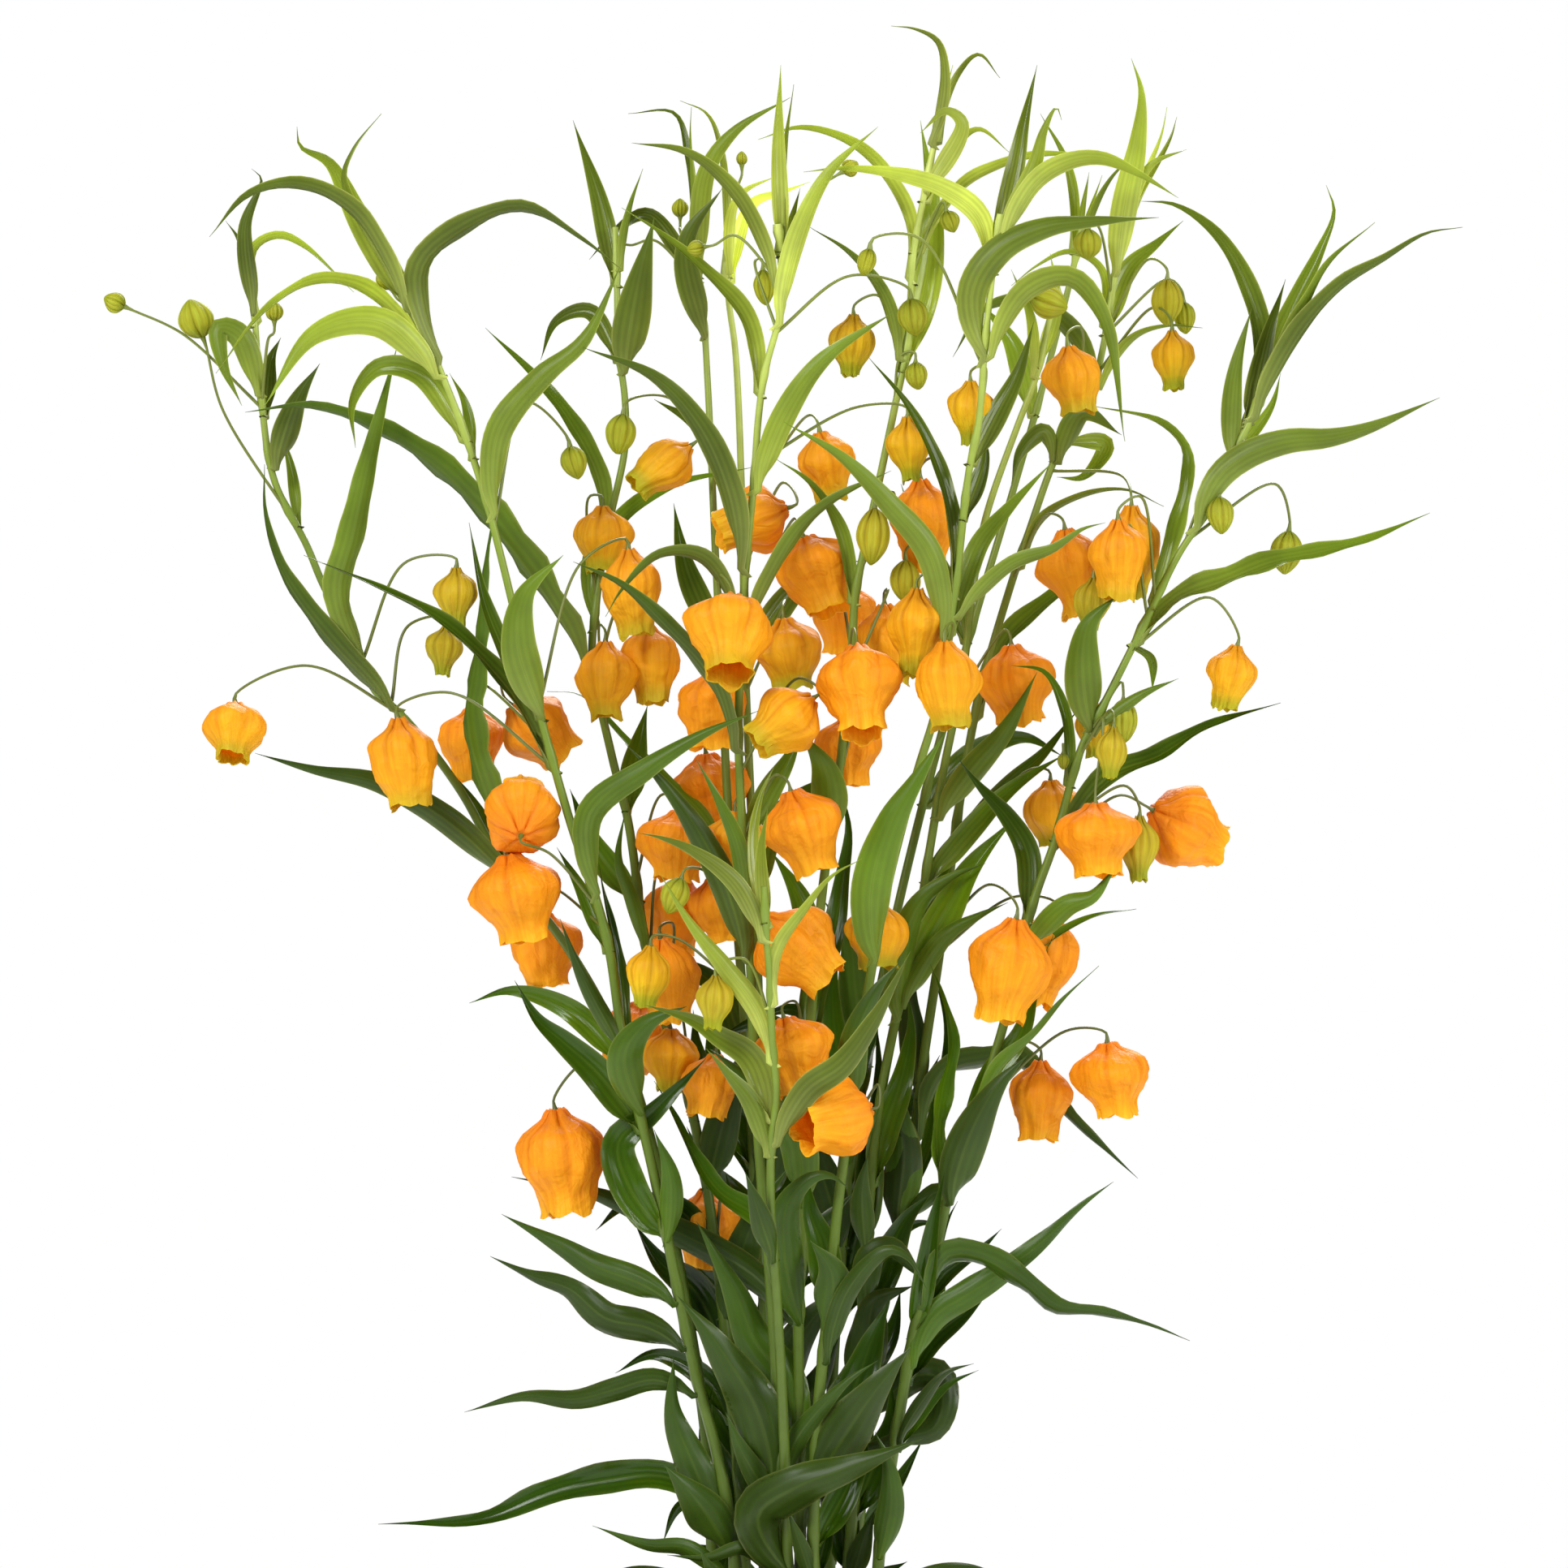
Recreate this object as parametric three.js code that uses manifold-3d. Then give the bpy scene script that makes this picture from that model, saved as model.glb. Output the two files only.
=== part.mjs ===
// Potted christmas bells: a clay pot of soil from which thirteen leafy shoots rise and fan out.
// Orange lantern flowers hang among the leaves on thin arching stalks.
// Millimetres, +Z up, front towards -Y. The origin is the middle of the pot's foot.
import * as THREE from "three";
import { mergeVertices } from "three/addons/utils/BufferGeometryUtils.js";
import Module from "manifold-3d";

const wasm = await Module();
wasm.setup();

// Driving dimensions
const POT_HEIGHT = 120;
const POT_RIM_RADIUS = 72;
const POT_FOOT_RADIUS = 50;
const POT_WALL = 5;
const POT_SIDES = 24;
const RIM_BAND = 24;
const DRAIN_RADIUS = 4.5;
const DRAIN_CIRCLE = 26;
const DRAIN_HOLES = 3;
const SOIL_TOP = 108;
const SOIL_ROUGHNESS = 2.2;
const SEAT_GAP = 0.3;
const STEM_FOOT_Z = 92;
const STEM_STRAIGHT_TO_Z = 116;
const STEM_FOOT_RADIUS = 1.9;
const STEM_TIP_RADIUS = 0.9;
const STEM_STEP = 40;
const ROOT_DEPTH = 6;
const LOWEST_ROOT_Z = 114;
const STALK_RADIUS = 0.5;
const LEAF_THICKNESS = 1.0;
const CLEARANCE = 0.35;
const OWN_NODE_RIPENESS = 0.72;

// The shoots are drawn as seen from the front. A drawn point (x, z) is what an eye level with the
// middle of the plant sees in the plane y = 0. It is pushed along its line of sight to its depth y.
const EYE_DISTANCE = 2500;
const EYE_HEIGHT = 381.5;
const DRAWN_FROM_Z = 140;

// A bell or leaf that would cross a neighbour is bent clear, in depth, by the first of these that does so.
const BENDS = [0, -5, 5, -10, 10, -15, 15, -21, 21, -28, 28, -36, 36, -45, 45, -55, 55];

// route: x and z of the stem from the foot up. depth: y of the stem at its foot and at its tip.
// leaves: apparent width, depth of the tip from the stem, height of the base on the stem, then x and z
// of the points that the midrib passes. flowers: height of the stalk's base on the stem, x and z of the
// top of its arch, x and z of the flower's neck, depth, width, length, tilt of the mouth to the right and
// nod of it to the front in degrees, and ripeness, from 0, a green bud, to 1, an open orange bell.
const SHOOTS = {
  far_left: {
    depth: [4, 20],
    route: [
      -22, 140, -24, 180, -30, 220, -38, 260, -50, 300, -66, 330, -88, 359, -100, 380, -116, 401,
      -127, 412, -133, 426, -142, 443, -147, 455, -157, 475, -161, 500, -163.5, 531, -165, 543,
    ],
    leaves: [
      [6, -6, 531, -166, 553, -161, 568, -164, 571],
      [4, 10, 528, -163, 546, -156, 550, -148, 547, -132.5, 533],
      [8, -10, 506, -168, 520, -174, 522, -173, 511, -167, 498],
      [7, 10, 500, -158, 512, -155, 519],
      [9, -12, 484, -150, 500, -143, 511],
      [7, -10, 409, -143, 430, -155, 448, -160, 465, -160, 480],
      [4, 12, 466, -152, 480, -156, 492],
      [3, -6, 539, -168, 549, -172, 555],
      [9, -22, 422, -137, 440, -133, 458, -127, 485, -119, 517],
      [8, -14, 357, -97, 400, -95, 418, -92, 450, -88, 472],
      [9, -16, 355, -105, 371, -125, 382, -145, 386, -163, 391],
      [3, 10, 361, -95, 375, -105.5, 388],
      [8, 14, 300, -66, 312, -84, 318, -97, 314],
      [9, 4, 124, -30, 132, -44, 138, -62, 136],
      [8, 24, 132, -18, 142, -14, 156],
    ],
    flowers: [
      [409, -147, 418, -169, 406.5, -2, 19, 19, 0, 25, 0.8],
      [360, -87, 364.5, -85, 360, -16, 28, 27, 12, 0, 1],
      [425, -117, 449.5, -101, 448, 4, 13.5, 18, 0, 0, 0.4],
      [412, -116, 430, -104, 430, 22, 12, 15, -5, 0, 0.35],
      [503, -185, 520, -203, 528.5, 10, 6, 7, -114, 0, 0.1],
      [466, -173, 497, -179, 519, 14, 10.5, 12.5, -160, 0, 0.2],
      [505, -159, 518, -157, 524, -4, 5, 6, 180, 0, 0.1],
    ],
  },
  left: {
    depth: [-10, -34],
    route: [
      -15, 140, -20, 172, -28, 203, -34, 232, -40.5, 263, -49.4, 301, -54.8, 335, -66.5, 372,
      -77, 410, -91.5, 468, -100, 494, -109, 516, -119, 536, -124, 545,
    ],
    leaves: [
      [9, 12, 532, -131, 556, -140, 573, -149, 578, -150, 584],
      [4, -12, 538, -136, 567, -133, 577, -124, 588],
      [5, -18, 532, -133, 558, -150, 566, -165, 563, -177, 550],
      [5, 16, 520, -130, 534, -145, 536, -160, 527, -175, 508],
      [10, -20, 512, -125, 524, -145, 520, -160, 498],
      [7, -10, 515, -112, 540, -100, 552, -81, 559, -62, 549, -50, 540],
      [8, 20, 492, -112, 508, -125, 510, -133, 499, -132, 485],
      [4, 10, 487, -98, 498, -103, 508],
      [9, -16, 468, -88, 490, -75, 507, -62, 518, -50, 542],
      [6, 14, 406, -86, 422, -93, 440, -97, 462],
      [12, -20, 407, -82, 425, -80, 440, -68, 452],
      [5.5, 18, 390, -85, 411, -105, 431, -125, 442, -148, 452],
      [9, -22, 351, -60, 372, -43, 386, -25, 397, -8, 404],
      [6, 10, 335, -62, 348, -70, 362],
      [6, -8, 303, -62, 322, -69, 340],
      [5, 12, 303, -52, 330, -56, 350, -57, 357],
      [12, -20, 285, -49, 298, -42, 308, -30, 313],
      [11, 8, 279, -57, 292, -68, 302, -76, 309, -83, 321],
      [12, 10, 246, -48, 258, -51, 271, -40, 281, -24, 297],
      [8, -8, 246, -35, 260, -40, 275],
      [10, -14, 227, -45, 228, -58, 233, -68, 239, -87, 249],
      [11, -10, 213, -42, 214, -55, 217, -66, 226, -78, 230, -90.5, 236],
      [8, -8, 199, -40, 198, -52, 195, -64, 192, -80, 193, -98.5, 188],
      [10, 8, 163, -36, 168, -55, 167, -75, 162, -92, 155, -125, 153.5],
      [15, -14, 150, -27, 161, -37, 172],
      [4, 16, 168, -32, 159, -37.5, 147.5],
      [13, -6, 151, -28, 172, -34, 188, -34, 205],
      [6, -12, 141, -30, 146, -42, 147, -59, 153],
      [10, -34, 122, -20, 134, -26, 146],
    ],
    flowers: [
      [392, -102, 409.5, -119, 402, -6, 20, 27, 8, 0, 0.85],
      [396, -86, 414, -84, 406, 14, 22, 23, 45, -10, 0.95],
      [400, -92, 412, -96, 405, 30, 20, 22, 0, 0, 0.95],
      [350, -72, 360, -81, 365.5, -24, 24, 23, 180, -55, 1],
      [343, -70, 349, -74, 342, 6, 21, 22.5, 3, 0, 1],
      [285, -60, 296, -70.5, 281.5, -4, 26, 32, 8, 0, 1],
      [411, -63, 449, -48, 454, -8, 18.5, 26.5, 6, 0, 0.8],
      [466, -80, 499, -66, 485.5, 2, 8, 10.5, 15, 0, 0.2],
      [520, -117, 529, -121, 534, -22, 6, 7, -150, 0, 0.1],
    ],
  },
  left_back: {
    depth: [8, 30],
    route: [
      -12, 140, -15, 180, -20, 230, -26, 270, -33, 298, -39, 315, -43, 334, -48, 370, -53, 390,
      -59, 420, -58, 436, -54, 461, -49, 485, -49, 500, -51, 516, -51.5, 540, -52, 553,
    ],
    leaves: [
      [7, 8, 540, -57, 562, -65, 586],
      [3, -6, 545, -47, 560, -43.5, 571],
      [12, -14, 513, -45, 535, -40, 556],
      [6, 14, 517, -60, 527, -70, 524, -75, 512],
      [6, 30, 459, -57, 475, -64, 490, -74, 504, -92, 522],
      [7, 12, 434, -58, 450, -48, 465, -35, 473, -10, 479],
      [9, -14, 419, -72, 438, -90, 462, -105, 478, -125, 491, -145, 498, -166, 496],
      [9, 16, 378, -45, 392, -42, 406],
      [5, -10, 333, -47, 346, -51, 358, -49, 373],
      [7, 12, 283, -30, 298, -36, 308],
      [9, 22, 350, -58, 362, -66, 380],
      [9, 20, 240, -32, 250, -48, 252, -58, 244],
      [8, 22, 190, -26, 200, -40, 206, -52, 200],
      [13, 8, 148, -18, 166, -24, 182, -22, 196],
      [13, -8, 168, -6, 184, 2, 198, 4, 212],
      [13, 10, 212, -28, 226, -38, 234, -46, 246],
      [12, -8, 222, -12, 240, -6, 254, 2, 264],
      [12, -6, 262, -18, 280, -14, 294, -8, 304],
      [10, 30, 126, -18, 138, -30, 146],
    ],
    flowers: [
      [402, -57, 430, -55, 425.5, 4, 18.5, 23.5, 0, 5, 0.8],
      [420, -50, 437, -42, 430.5, -14, 18, 24, 3, 8, 0.8],
      [358, -38, 378, -32, 373.5, 8, 23, 21, -4, 0, 1],
      [333, -38, 357, -31, 352.5, 10, 22, 23, -10, 5, 1],
      [316, -34, 338, -38, 334, -6, 20, 25, 8, 0, 1],
      [298, -40, 318, -44, 314, -4, 21, 21, -14, 0, 1],
      [243, -20, 262, -24, 257, 14, 20, 25, 0, 0, 1],
      [443, -60, 470, -56, 467, 20, 17, 20, 0, 0, 0.7],
      [286, -32, 311, -35, 306, 6, 18, 19, 0, 0, 0.7],
    ],
  },
  centre_left: {
    depth: [13, 46],
    route: [
      -4, 140, -5, 200, -9, 260, -13, 320, -17, 370, -19, 410, -21, 450, -23.5, 505, -25, 527,
      -28, 546,
    ],
    leaves: [
      [6, 8, 541, -42, 557, -52, 552, -60, 543],
      [9, -12, 524, -30, 548, -19, 565],
      [2.5, 6, 543, -30, 575, -34, 588, -48, 588],
      [2.5, -6, 544, -29, 580, -28.5, 590],
      [7, -14, 543, -24, 570, -15, 583, 2, 593],
      [4, 12, 365, -28, 374, -40, 385, -50, 396, -63, 409, -73, 410],
      [9, 22, 430, -30, 448, -34, 468],
      [9, 24, 300, -20, 318, -34, 326, -44, 320],
      [8, 24, 230, -14, 246, -18, 262],
      [14, -6, 146, 4, 164, 10, 180, 10, 194],
      [14, 6, 160, -14, 176, -22, 190, -26, 206],
      [13, -6, 192, 4, 210, 14, 222, 24, 228],
      [13, 6, 206, -16, 222, -26, 232, -32, 246],
      [13, -6, 254, -2, 272, 6, 288, 10, 300],
      [12, 6, 268, -18, 284, -26, 298, -28, 312],
      [9, 36, 120, 2, 132, 6, 146],
    ],
    flowers: [
      [398, -24, 421, -22, 416.5, 8, 21, 23.5, 0, 0, 1],
      [378, -20, 395, -24, 391, 10, 24, 25, 8, 0, 1],
      [336, -18, 357, -22, 353, 14, 18, 20, 10, 0, 1],
      [284, -17, 303, -21, 298.5, 6, 18, 19, -8, 0, 1],
      [468, -22, 492, -29, 485.5, 2, 16, 21.5, -52, 10, 0.7],
      [350, -13, 378, -15, 373, 22, 20, 20, 0, 0, 0.7],
      [498, -37, 501, -49.5, 495.5, -2, 9, 12.5, -8, 0, 0.2],
      [541, -40, 549, -50, 548, 40, 5, 6, -100, 0, 0.1],
      [542, -32, 552, -32, 556, 54, 5, 6, 180, 0, 0.1],
    ],
  },
  back_left: {
    depth: [25, 62],
    route: [
      -6, 140, -6, 200, -7, 260, -8, 320, -10, 370, -12, 420, -13, 470, -15, 515, -17, 530,
      -18, 546,
    ],
    leaves: [
      [5, 8, 541, -10, 560, 0, 564, 8, 567],
      [4, -10, 544, -14, 562, -2, 569],
      [2.5, 6, 543, -20, 578, -24, 588, -32, 592],
      [9, 24, 470, -25, 490, -40, 500],
      [9, 20, 425, 2, 440, 14, 450, 24, 450],
      [9, 26, 350, -4, 368, 8, 380, 20, 384],
      [8, 26, 290, -16, 306, -30, 310],
      [9, 24, 200, -4, 216, 6, 228, 16, 230],
      [13, 10, 150, -10, 168, -20, 184, -27, 200],
      [14, -8, 166, 2, 184, 12, 200, 18, 214],
      [13, 8, 184, -12, 202, -20, 216, -24, 232],
      [13, -8, 214, 2, 232, 12, 246, 22, 256],
      [12, 10, 236, -14, 252, -24, 264, -30, 276],
      [12, -6, 262, 0, 280, 8, 296, 12, 310],
      [10, 26, 130, -16, 142, -30, 148],
      [9, 34, 120, -2, 132, 4, 142],
    ],
    flowers: [
      [453, -1, 474, 1, 466.5, 6, 21, 22.5, -70, 8, 0.9],
      [438, 2, 462, 6, 457.5, 2, 24, 24, 22, 10, 0.95],
      [472, 6, 494, 11, 490, 20, 19, 21, 12, 0, 0.8],
      [416, 0, 437, 0, 432.5, 16, 22, 22, 8, 0, 0.7],
      [543, -14, 566, -13, 572, 66, 3.5, 4.5, 180, 0, 0.1],
    ],
  },
  centre: {
    depth: [-10, -34],
    route: [
      -1, 140, -2, 190, -4.4, 230, -7, 260, -9, 290, -10.5, 330, -13, 370, -14, 400, -12, 445,
      -9, 478, -8, 493, -6, 508, -0.5, 530, -1, 545, -2, 554,
    ],
    leaves: [
      [5.5, 0, 549, -2, 575, -1, 603],
      [3, 6, 551, 1, 580, 3, 597],
      [5, -10, 539, -15, 563, -30, 576, -47, 579],
      [6, 12, 506, -12, 525, -25, 540, -38, 551, -50, 559],
      [6.5, -10, 527, 5, 552, 14, 570, 29, 584],
      [3, 8, 549, 5, 565],
      [8, -16, 451, -17, 472, -26, 492, -40, 507, -62, 516],
      [8, -14, 476, 0, 495, 12, 512, 34, 527],
      [5, -10, 435, 5, 460, 15, 469, 33, 478],
      [5, -12, 438, -25, 451, -38, 452, -50, 441, -55, 433],
      [6, -18, 396, -22, 414, -35, 429, -50, 443, -65, 450],
      [8, 10, 370, -4, 380, 2, 390, 6, 402],
      [10, -16, 331, -18, 350, -27, 368, -38, 383, -49, 394],
      [6, -20, 346, -14, 362, -20, 376, -27, 389],
      [7, -16, 166, 3, 178, 12, 190, 20, 198, 29, 204],
      [8, -8, 163, -13, 176, -18, 188],
      [17, -16, 170, -9, 190, -18, 205, -25, 215, -33, 224],
      [5, -16, 142, -12, 146, -24, 143, -36, 144],
      [10, -36, 120, 4, 131, 10, 139],
    ],
    flowers: [
      [416, -20, 446, -16.5, 439.5, -36, 26, 27, 0, 30, 0.95],
      [391, 4, 414, 9, 408, -34, 21, 22.5, -52, 12, 0.85],
      [371, -3, 384, 2, 379.5, -28, 25, 26, 18, 0, 1],
      [333, -9, 347, -6, 340.5, -26, 25, 27, 45, 0, 1],
      [486, 22, 497.5, 38, 494.5, -20, 13.5, 19.5, 4, 0, 0.5],
      [320, -32, 333.5, -41, 331.5, -28, 13.5, 18.5, -6, 0, 0.5],
      [343, -24, 354.5, -31.5, 352.5, -30, 8.5, 11.5, -22, 0, 0.25],
      [526, 20, 538, 39, 531, -12, 9, 11.5, 8, 0, 0.25],
      [541, -15, 550.5, -24.5, 547, -24, 5, 5.5, -80, 0, 0.1],
      [528, -9, 542, -6.5, 540, -20, 7, 11, 5, 0, 0.15],
      [546, 12, 566, 18, 570, -30, 5, 5.5, 120, 0, 0.1],
    ],
  },
  front: {
    depth: [-15.5, -64],
    route: [
      1, 140, 0, 180, -2, 220, -4, 250, -4, 268, -2.3, 285, -3.6, 302, -4.4, 321, -5.7, 339, -6, 350,
    ],
    leaves: [
      [6, -8, 338, -15, 351, -28, 361, -38, 365, -45, 366.5],
      [5, 0, 342, -7, 360, -5, 374],
      [4, 6, 344, -9, 365, -7, 378, -3, 387],
      [4.5, -8, 318, -1.5, 330, 7, 343, 15, 353, 24, 358.5],
      [7, -8, 300, -8, 311, -18, 325, -29, 339, -38, 353.5],
      [9, -6, 275, 7, 287, 18, 295, 28, 309, 35, 322, 39, 330],
      [9, 8, 282, -10, 297, -20, 304, -28, 309, -43, 313.5],
      [7, -6, 272, -10, 283, -18, 293, -24, 300],
      [16, -22, 142, -8, 156, 4, 165, 20, 171, 43, 180],
      [8, -12, 240, -8, 250, -12, 262],
      [10, -30, 124, -8, 134, -16, 138],
    ],
    flowers: [[314, -12, 327.5, -21, 322.5, -52, 11.5, 16, -4, 0, 0.35]],
  },
  centre_right: {
    depth: [-8, -12],
    route: [
      5, 140, 5, 170, 4.5, 200, 4.5, 222, 6, 245, 5.5, 265, 7, 290, 9.5, 325, 12, 350, 17, 385,
      21, 425, 22, 440, 25, 455, 30, 478, 34, 497, 38, 517, 40, 545, 45, 572, 48, 588,
    ],
    leaves: [
      [10, 10, 514, 44, 537, 45.5, 560, 42, 586],
      [4.5, -12, 517, 30, 533, 20, 545, 8, 553],
      [4.5, 14, 541, 38, 555, 30, 570, 20, 579, 5, 583.5, -8, 580],
      [4, -6, 583, 49, 600, 47, 610, 40, 614, 33, 615],
      [2.2, 6, 584, 54, 600, 60, 606, 66.5, 599],
      [2.2, 0, 585, 52, 603],
      [6, -8, 569, 55, 585, 50, 589, 42, 582],
      [4, 8, 566, 53, 578, 60, 583, 69.5, 576],
      [3.5, 14, 550, 55, 565, 65, 571, 78, 575, 99, 575],
      [5, 14, 442, 17, 460, 8, 474, -3, 482],
      [12, -14, 370, 13, 385, 5, 398],
      [8, 12, 333, 5, 346, -4, 361],
      [8, 14, 304, -6, 308, -20, 304],
      [9, 14, 298, 9, 317, 15, 335, 18, 352, 20, 368, 17, 382],
      [12, -14, 256, 4, 272, -4, 284, -14, 293, -23, 300],
      [7, 12, 236, -8, 248, -20, 256, -28, 268, -34, 280, -40, 290],
      [12, -16, 220, 0, 238, 1, 252, 8, 260, 14, 261, 20, 257],
      [10, -12, 220, -8, 229, -22, 238, -38, 246, -58, 255, -84, 260.5],
      [14, -12, 183, 0, 198, -9, 210, -15, 225, -27, 247],
      [9, -26, 128, 14, 136, 24, 139],
    ],
    flowers: [
      [412, 21, 429, 22.5, 424, -30, 25, 29, 4, 24, 1],
      [428, 17, 449, 19, 443.5, 12, 21, 22, 0, 0, 0.95],
      [383, 22, 406, 20, 402.5, -2, 20, 21, 0, 0, 1],
      [418, 32, 441, 31, 437, 0, 20, 25, 5, 0, 0.8],
      [294, 4, 314, 0, 309.5, -30, 25, 23, 14, 10, 1],
      [514, 29, 532, 21.5, 526, -10, 13.5, 18.5, -3, 0, 0.45],
      [453, 34, 471, 28, 466.5, -24, 10, 17.5, -4, 0, 0.3],
      [503, 36, 513.5, 40.5, 511.5, -14, 6.5, 8.5, 6, 0, 0.2],
      [544, 46, 556, 50, 558, -16, 6, 7, 20, 0, 0.1],
    ],
  },
  right_front: {
    depth: [-17, -46],
    route: [
      8.9, 140, 9.3, 162, 10.6, 190, 13.9, 223, 16.4, 250, 20, 278, 23, 300, 28.5, 333, 33, 355,
      41, 385, 47, 405, 52, 435, 57, 478, 60, 493, 62, 518, 65, 545, 67, 557,
    ],
    leaves: [
      [10, -12, 516, 58, 533, 66, 546, 80, 553, 95, 555, 115.5, 556],
      [7, 8, 549, 71, 570, 74, 585, 78, 603],
      [6, -6, 553, 77, 572, 80, 583, 84, 590, 85.5, 586],
      [7, 12, 544, 60, 556, 50, 564, 35, 569, 18, 571, 6, 570],
      [6, -14, 551, 78, 567, 88, 573, 98, 574, 110, 569, 121.5, 562],
      [7, -10, 517, 75, 533, 88, 537, 98, 525, 105, 487],
      [7, 14, 485, 66, 496, 72, 508, 77, 524],
      [9, -14, 430, 45, 452, 32, 468, 18, 482, 0, 493],
      [4.5, 12, 444, 51, 465, 46, 482, 38, 498, 26, 513],
      [7, 10, 432, 60, 455, 68, 465, 83, 481],
      [5, -10, 438, 70, 449, 83, 454, 92, 460, 99, 462],
      [6, 8, 468, 62, 485, 58, 490],
      [13, -18, 331, 27, 350, 33, 370, 42, 385, 50, 398],
      [10, -10, 286, 22, 303, 28, 317, 36, 327],
      [7, 10, 284, 25, 296, 29, 306],
      [13, -12, 219, 15, 230, 8, 241],
      [7, -14, 208, 20, 226, 32, 238, 38, 236, 44, 226],
      [16, -12, 172, 22, 186, 30, 197, 39, 208],
      [6, 6, 141, 13, 152, 11, 161],
      [6, -6, 141, 4, 150, 1, 158],
      [16, 12, 178, 22, 196, 27, 210, 33, 224],
      [10, 8, 152, 20, 166, 24, 178, 22, 190],
      [10, -32, 120, 18, 130, 28, 134],
    ],
    flowers: [
      [450, 47, 481, 42, 475.5, -6, 21, 28, 3, 0, 0.95],
      [408, 52, 431, 49.5, 425.5, -36, 19.5, 26, 4, 4, 0.8],
      [278, 29, 289, 26.5, 281.5, -22, 23, 25, -78, 32, 1],
      [428, 49, 448, 41, 441.5, -40, 18, 26, -2, 4, 0.7],
      [338, 32, 350, 29, 345, -4, 18, 20, 0, 0, 0.7],
      [488, 62, 510, 57.5, 505.5, -28, 14, 19, 0, 0, 0.5],
      [438, 43, 455, 37.5, 450.5, -14, 9, 13, 0, 0, 0.3],
      [516, 42, 549.5, 26.5, 546.5, -38, 5.5, 8.5, -15, 0, 0.2],
    ],
  },
  right_mid: {
    depth: [2, 22],
    route: [
      20, 140, 22, 170, 24.5, 222, 25.6, 243, 29, 280, 35, 312, 42, 343, 45, 362, 49, 385, 55, 415,
      58, 440, 62, 463, 72, 492, 77, 505, 81, 521, 83, 530,
    ],
    leaves: [
      [5, 10, 515, 84, 530, 82, 545],
      [4, -8, 512, 76, 525, 70, 540],
      [9, -10, 376, 58, 386, 68, 398, 78, 416],
      [8, 12, 356, 58, 368, 70, 380, 87, 391],
      [7, 12, 341, 50, 360, 60, 371, 68, 378],
      [12, 14, 324, 50, 342, 58, 356, 72, 372],
      [7, -10, 318, 50, 335, 60, 341, 69, 345],
      [10, -14, 313, 36, 330, 42, 345, 52, 353, 62, 357],
      [8, 8, 243, 25.5, 262, 29, 285, 28.5, 309],
      [8, -10, 243, 24, 255, 26, 268],
      [14, -10, 198, 26, 212, 28, 222, 40, 227],
      [12, 10, 144, 18, 156, 24, 167, 31, 177],
      [8, -6, 140, 25, 150, 28, 158],
      [11, 10, 160, 28, 172, 33, 184, 33, 198],
      [12, 12, 222, 32, 236, 38, 248, 46, 256],
      [9, 26, 126, 28, 136, 38, 142],
    ],
    flowers: [
      [414, 68, 429, 70, 424.5, 12, 23, 24, 8, 0, 1],
      [512, 75, 531, 76, 532, 8, 10, 12, 70, 0, 0.25],
    ],
  },
  back_right: {
    depth: [22, 58],
    route: [14, 140, 15, 200, 20, 260, 30, 320, 44, 380, 58, 430, 70, 470, 80, 505, 89, 540, 92, 554],
    leaves: [
      [3.5, 5, 550, 87, 572, 79, 588],
      [2.5, -5, 551, 101, 568, 110, 577],
      [2.2, 2, 552, 94, 570],
      [2.2, 4, 550, 98, 569],
      [8, 20, 500, 70, 518, 60, 530],
      [9, 22, 430, 48, 446, 40, 462, 36, 474],
      [9, 20, 380, 60, 392, 74, 396, 86, 390],
      [9, 24, 290, 14, 304, 2, 312, -10, 308],
      [9, 24, 220, 28, 236, 40, 246, 50, 246],
      [13, 8, 146, 20, 162, 25, 176, 28, 190],
      [14, -6, 162, 8, 180, 4, 196, -4, 208],
      [13, 8, 184, 24, 200, 33, 212, 36, 226],
      [13, -6, 244, 12, 260, 6, 274, 2, 290],
      [12, 8, 262, 30, 276, 42, 286, 48, 298],
      [12, -6, 300, 22, 318, 20, 334, 12, 346],
      [10, 34, 122, 20, 134, 24, 146],
    ],
    flowers: [],
  },
  right: {
    depth: [12, 40],
    route: [
      22, 140, 25, 180, 28, 215, 32, 238, 38, 254, 42, 290, 48, 330, 54, 375, 60, 408, 69, 440,
      75, 458, 86, 487, 94, 497, 97, 510, 100, 525, 103, 545, 107, 563,
    ],
    leaves: [
      [8.5, -8, 543, 105, 560, 109, 580, 110, 595, 107, 605],
      [7, 10, 525, 106, 540, 115, 548, 123, 555],
      [3.5, -6, 559, 113, 572, 124, 577],
      [2.5, 6, 560, 116, 580, 118, 590],
      [2.2, 10, 561, 119, 580, 121, 587],
      [3, -12, 509, 108, 519, 118, 522.5, 129, 522],
      [6, -12, 495, 93, 510, 87, 522, 75, 530, 62, 528, 52, 513],
      [3, 12, 527, 97, 540, 88, 545, 78, 541, 70, 535],
      [8, -10, 486, 92, 496, 104, 489],
      [6, 14, 493, 99, 486, 92, 476, 84, 476],
      [6, -12, 487, 80, 490, 73, 484, 70, 474],
      [2.5, -14, 453, 80, 463, 92, 470, 105, 472, 117, 467],
      [5.5, 14, 406, 68, 425, 85, 441, 100, 453, 116, 459],
      [6, 14, 370, 70, 382, 80, 391, 91, 405],
      [7, -10, 276, 50, 293, 62, 296.5, 72, 297, 80, 289, 88.5, 279, 98, 270, 109, 260],
      [5, 10, 260, 46, 272, 49.5, 288, 51, 302, 48, 318, 44, 328],
      [13, -8, 250, 37, 270, 34, 283, 35.5, 293],
      [6, -16, 252, 48, 256, 48, 248, 44, 234],
      [11, -20, 192, 40, 199, 47, 199, 49, 191, 46, 183, 35, 180, 16, 174],
      [6, 10, 156, 36, 168, 43, 180],
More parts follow.
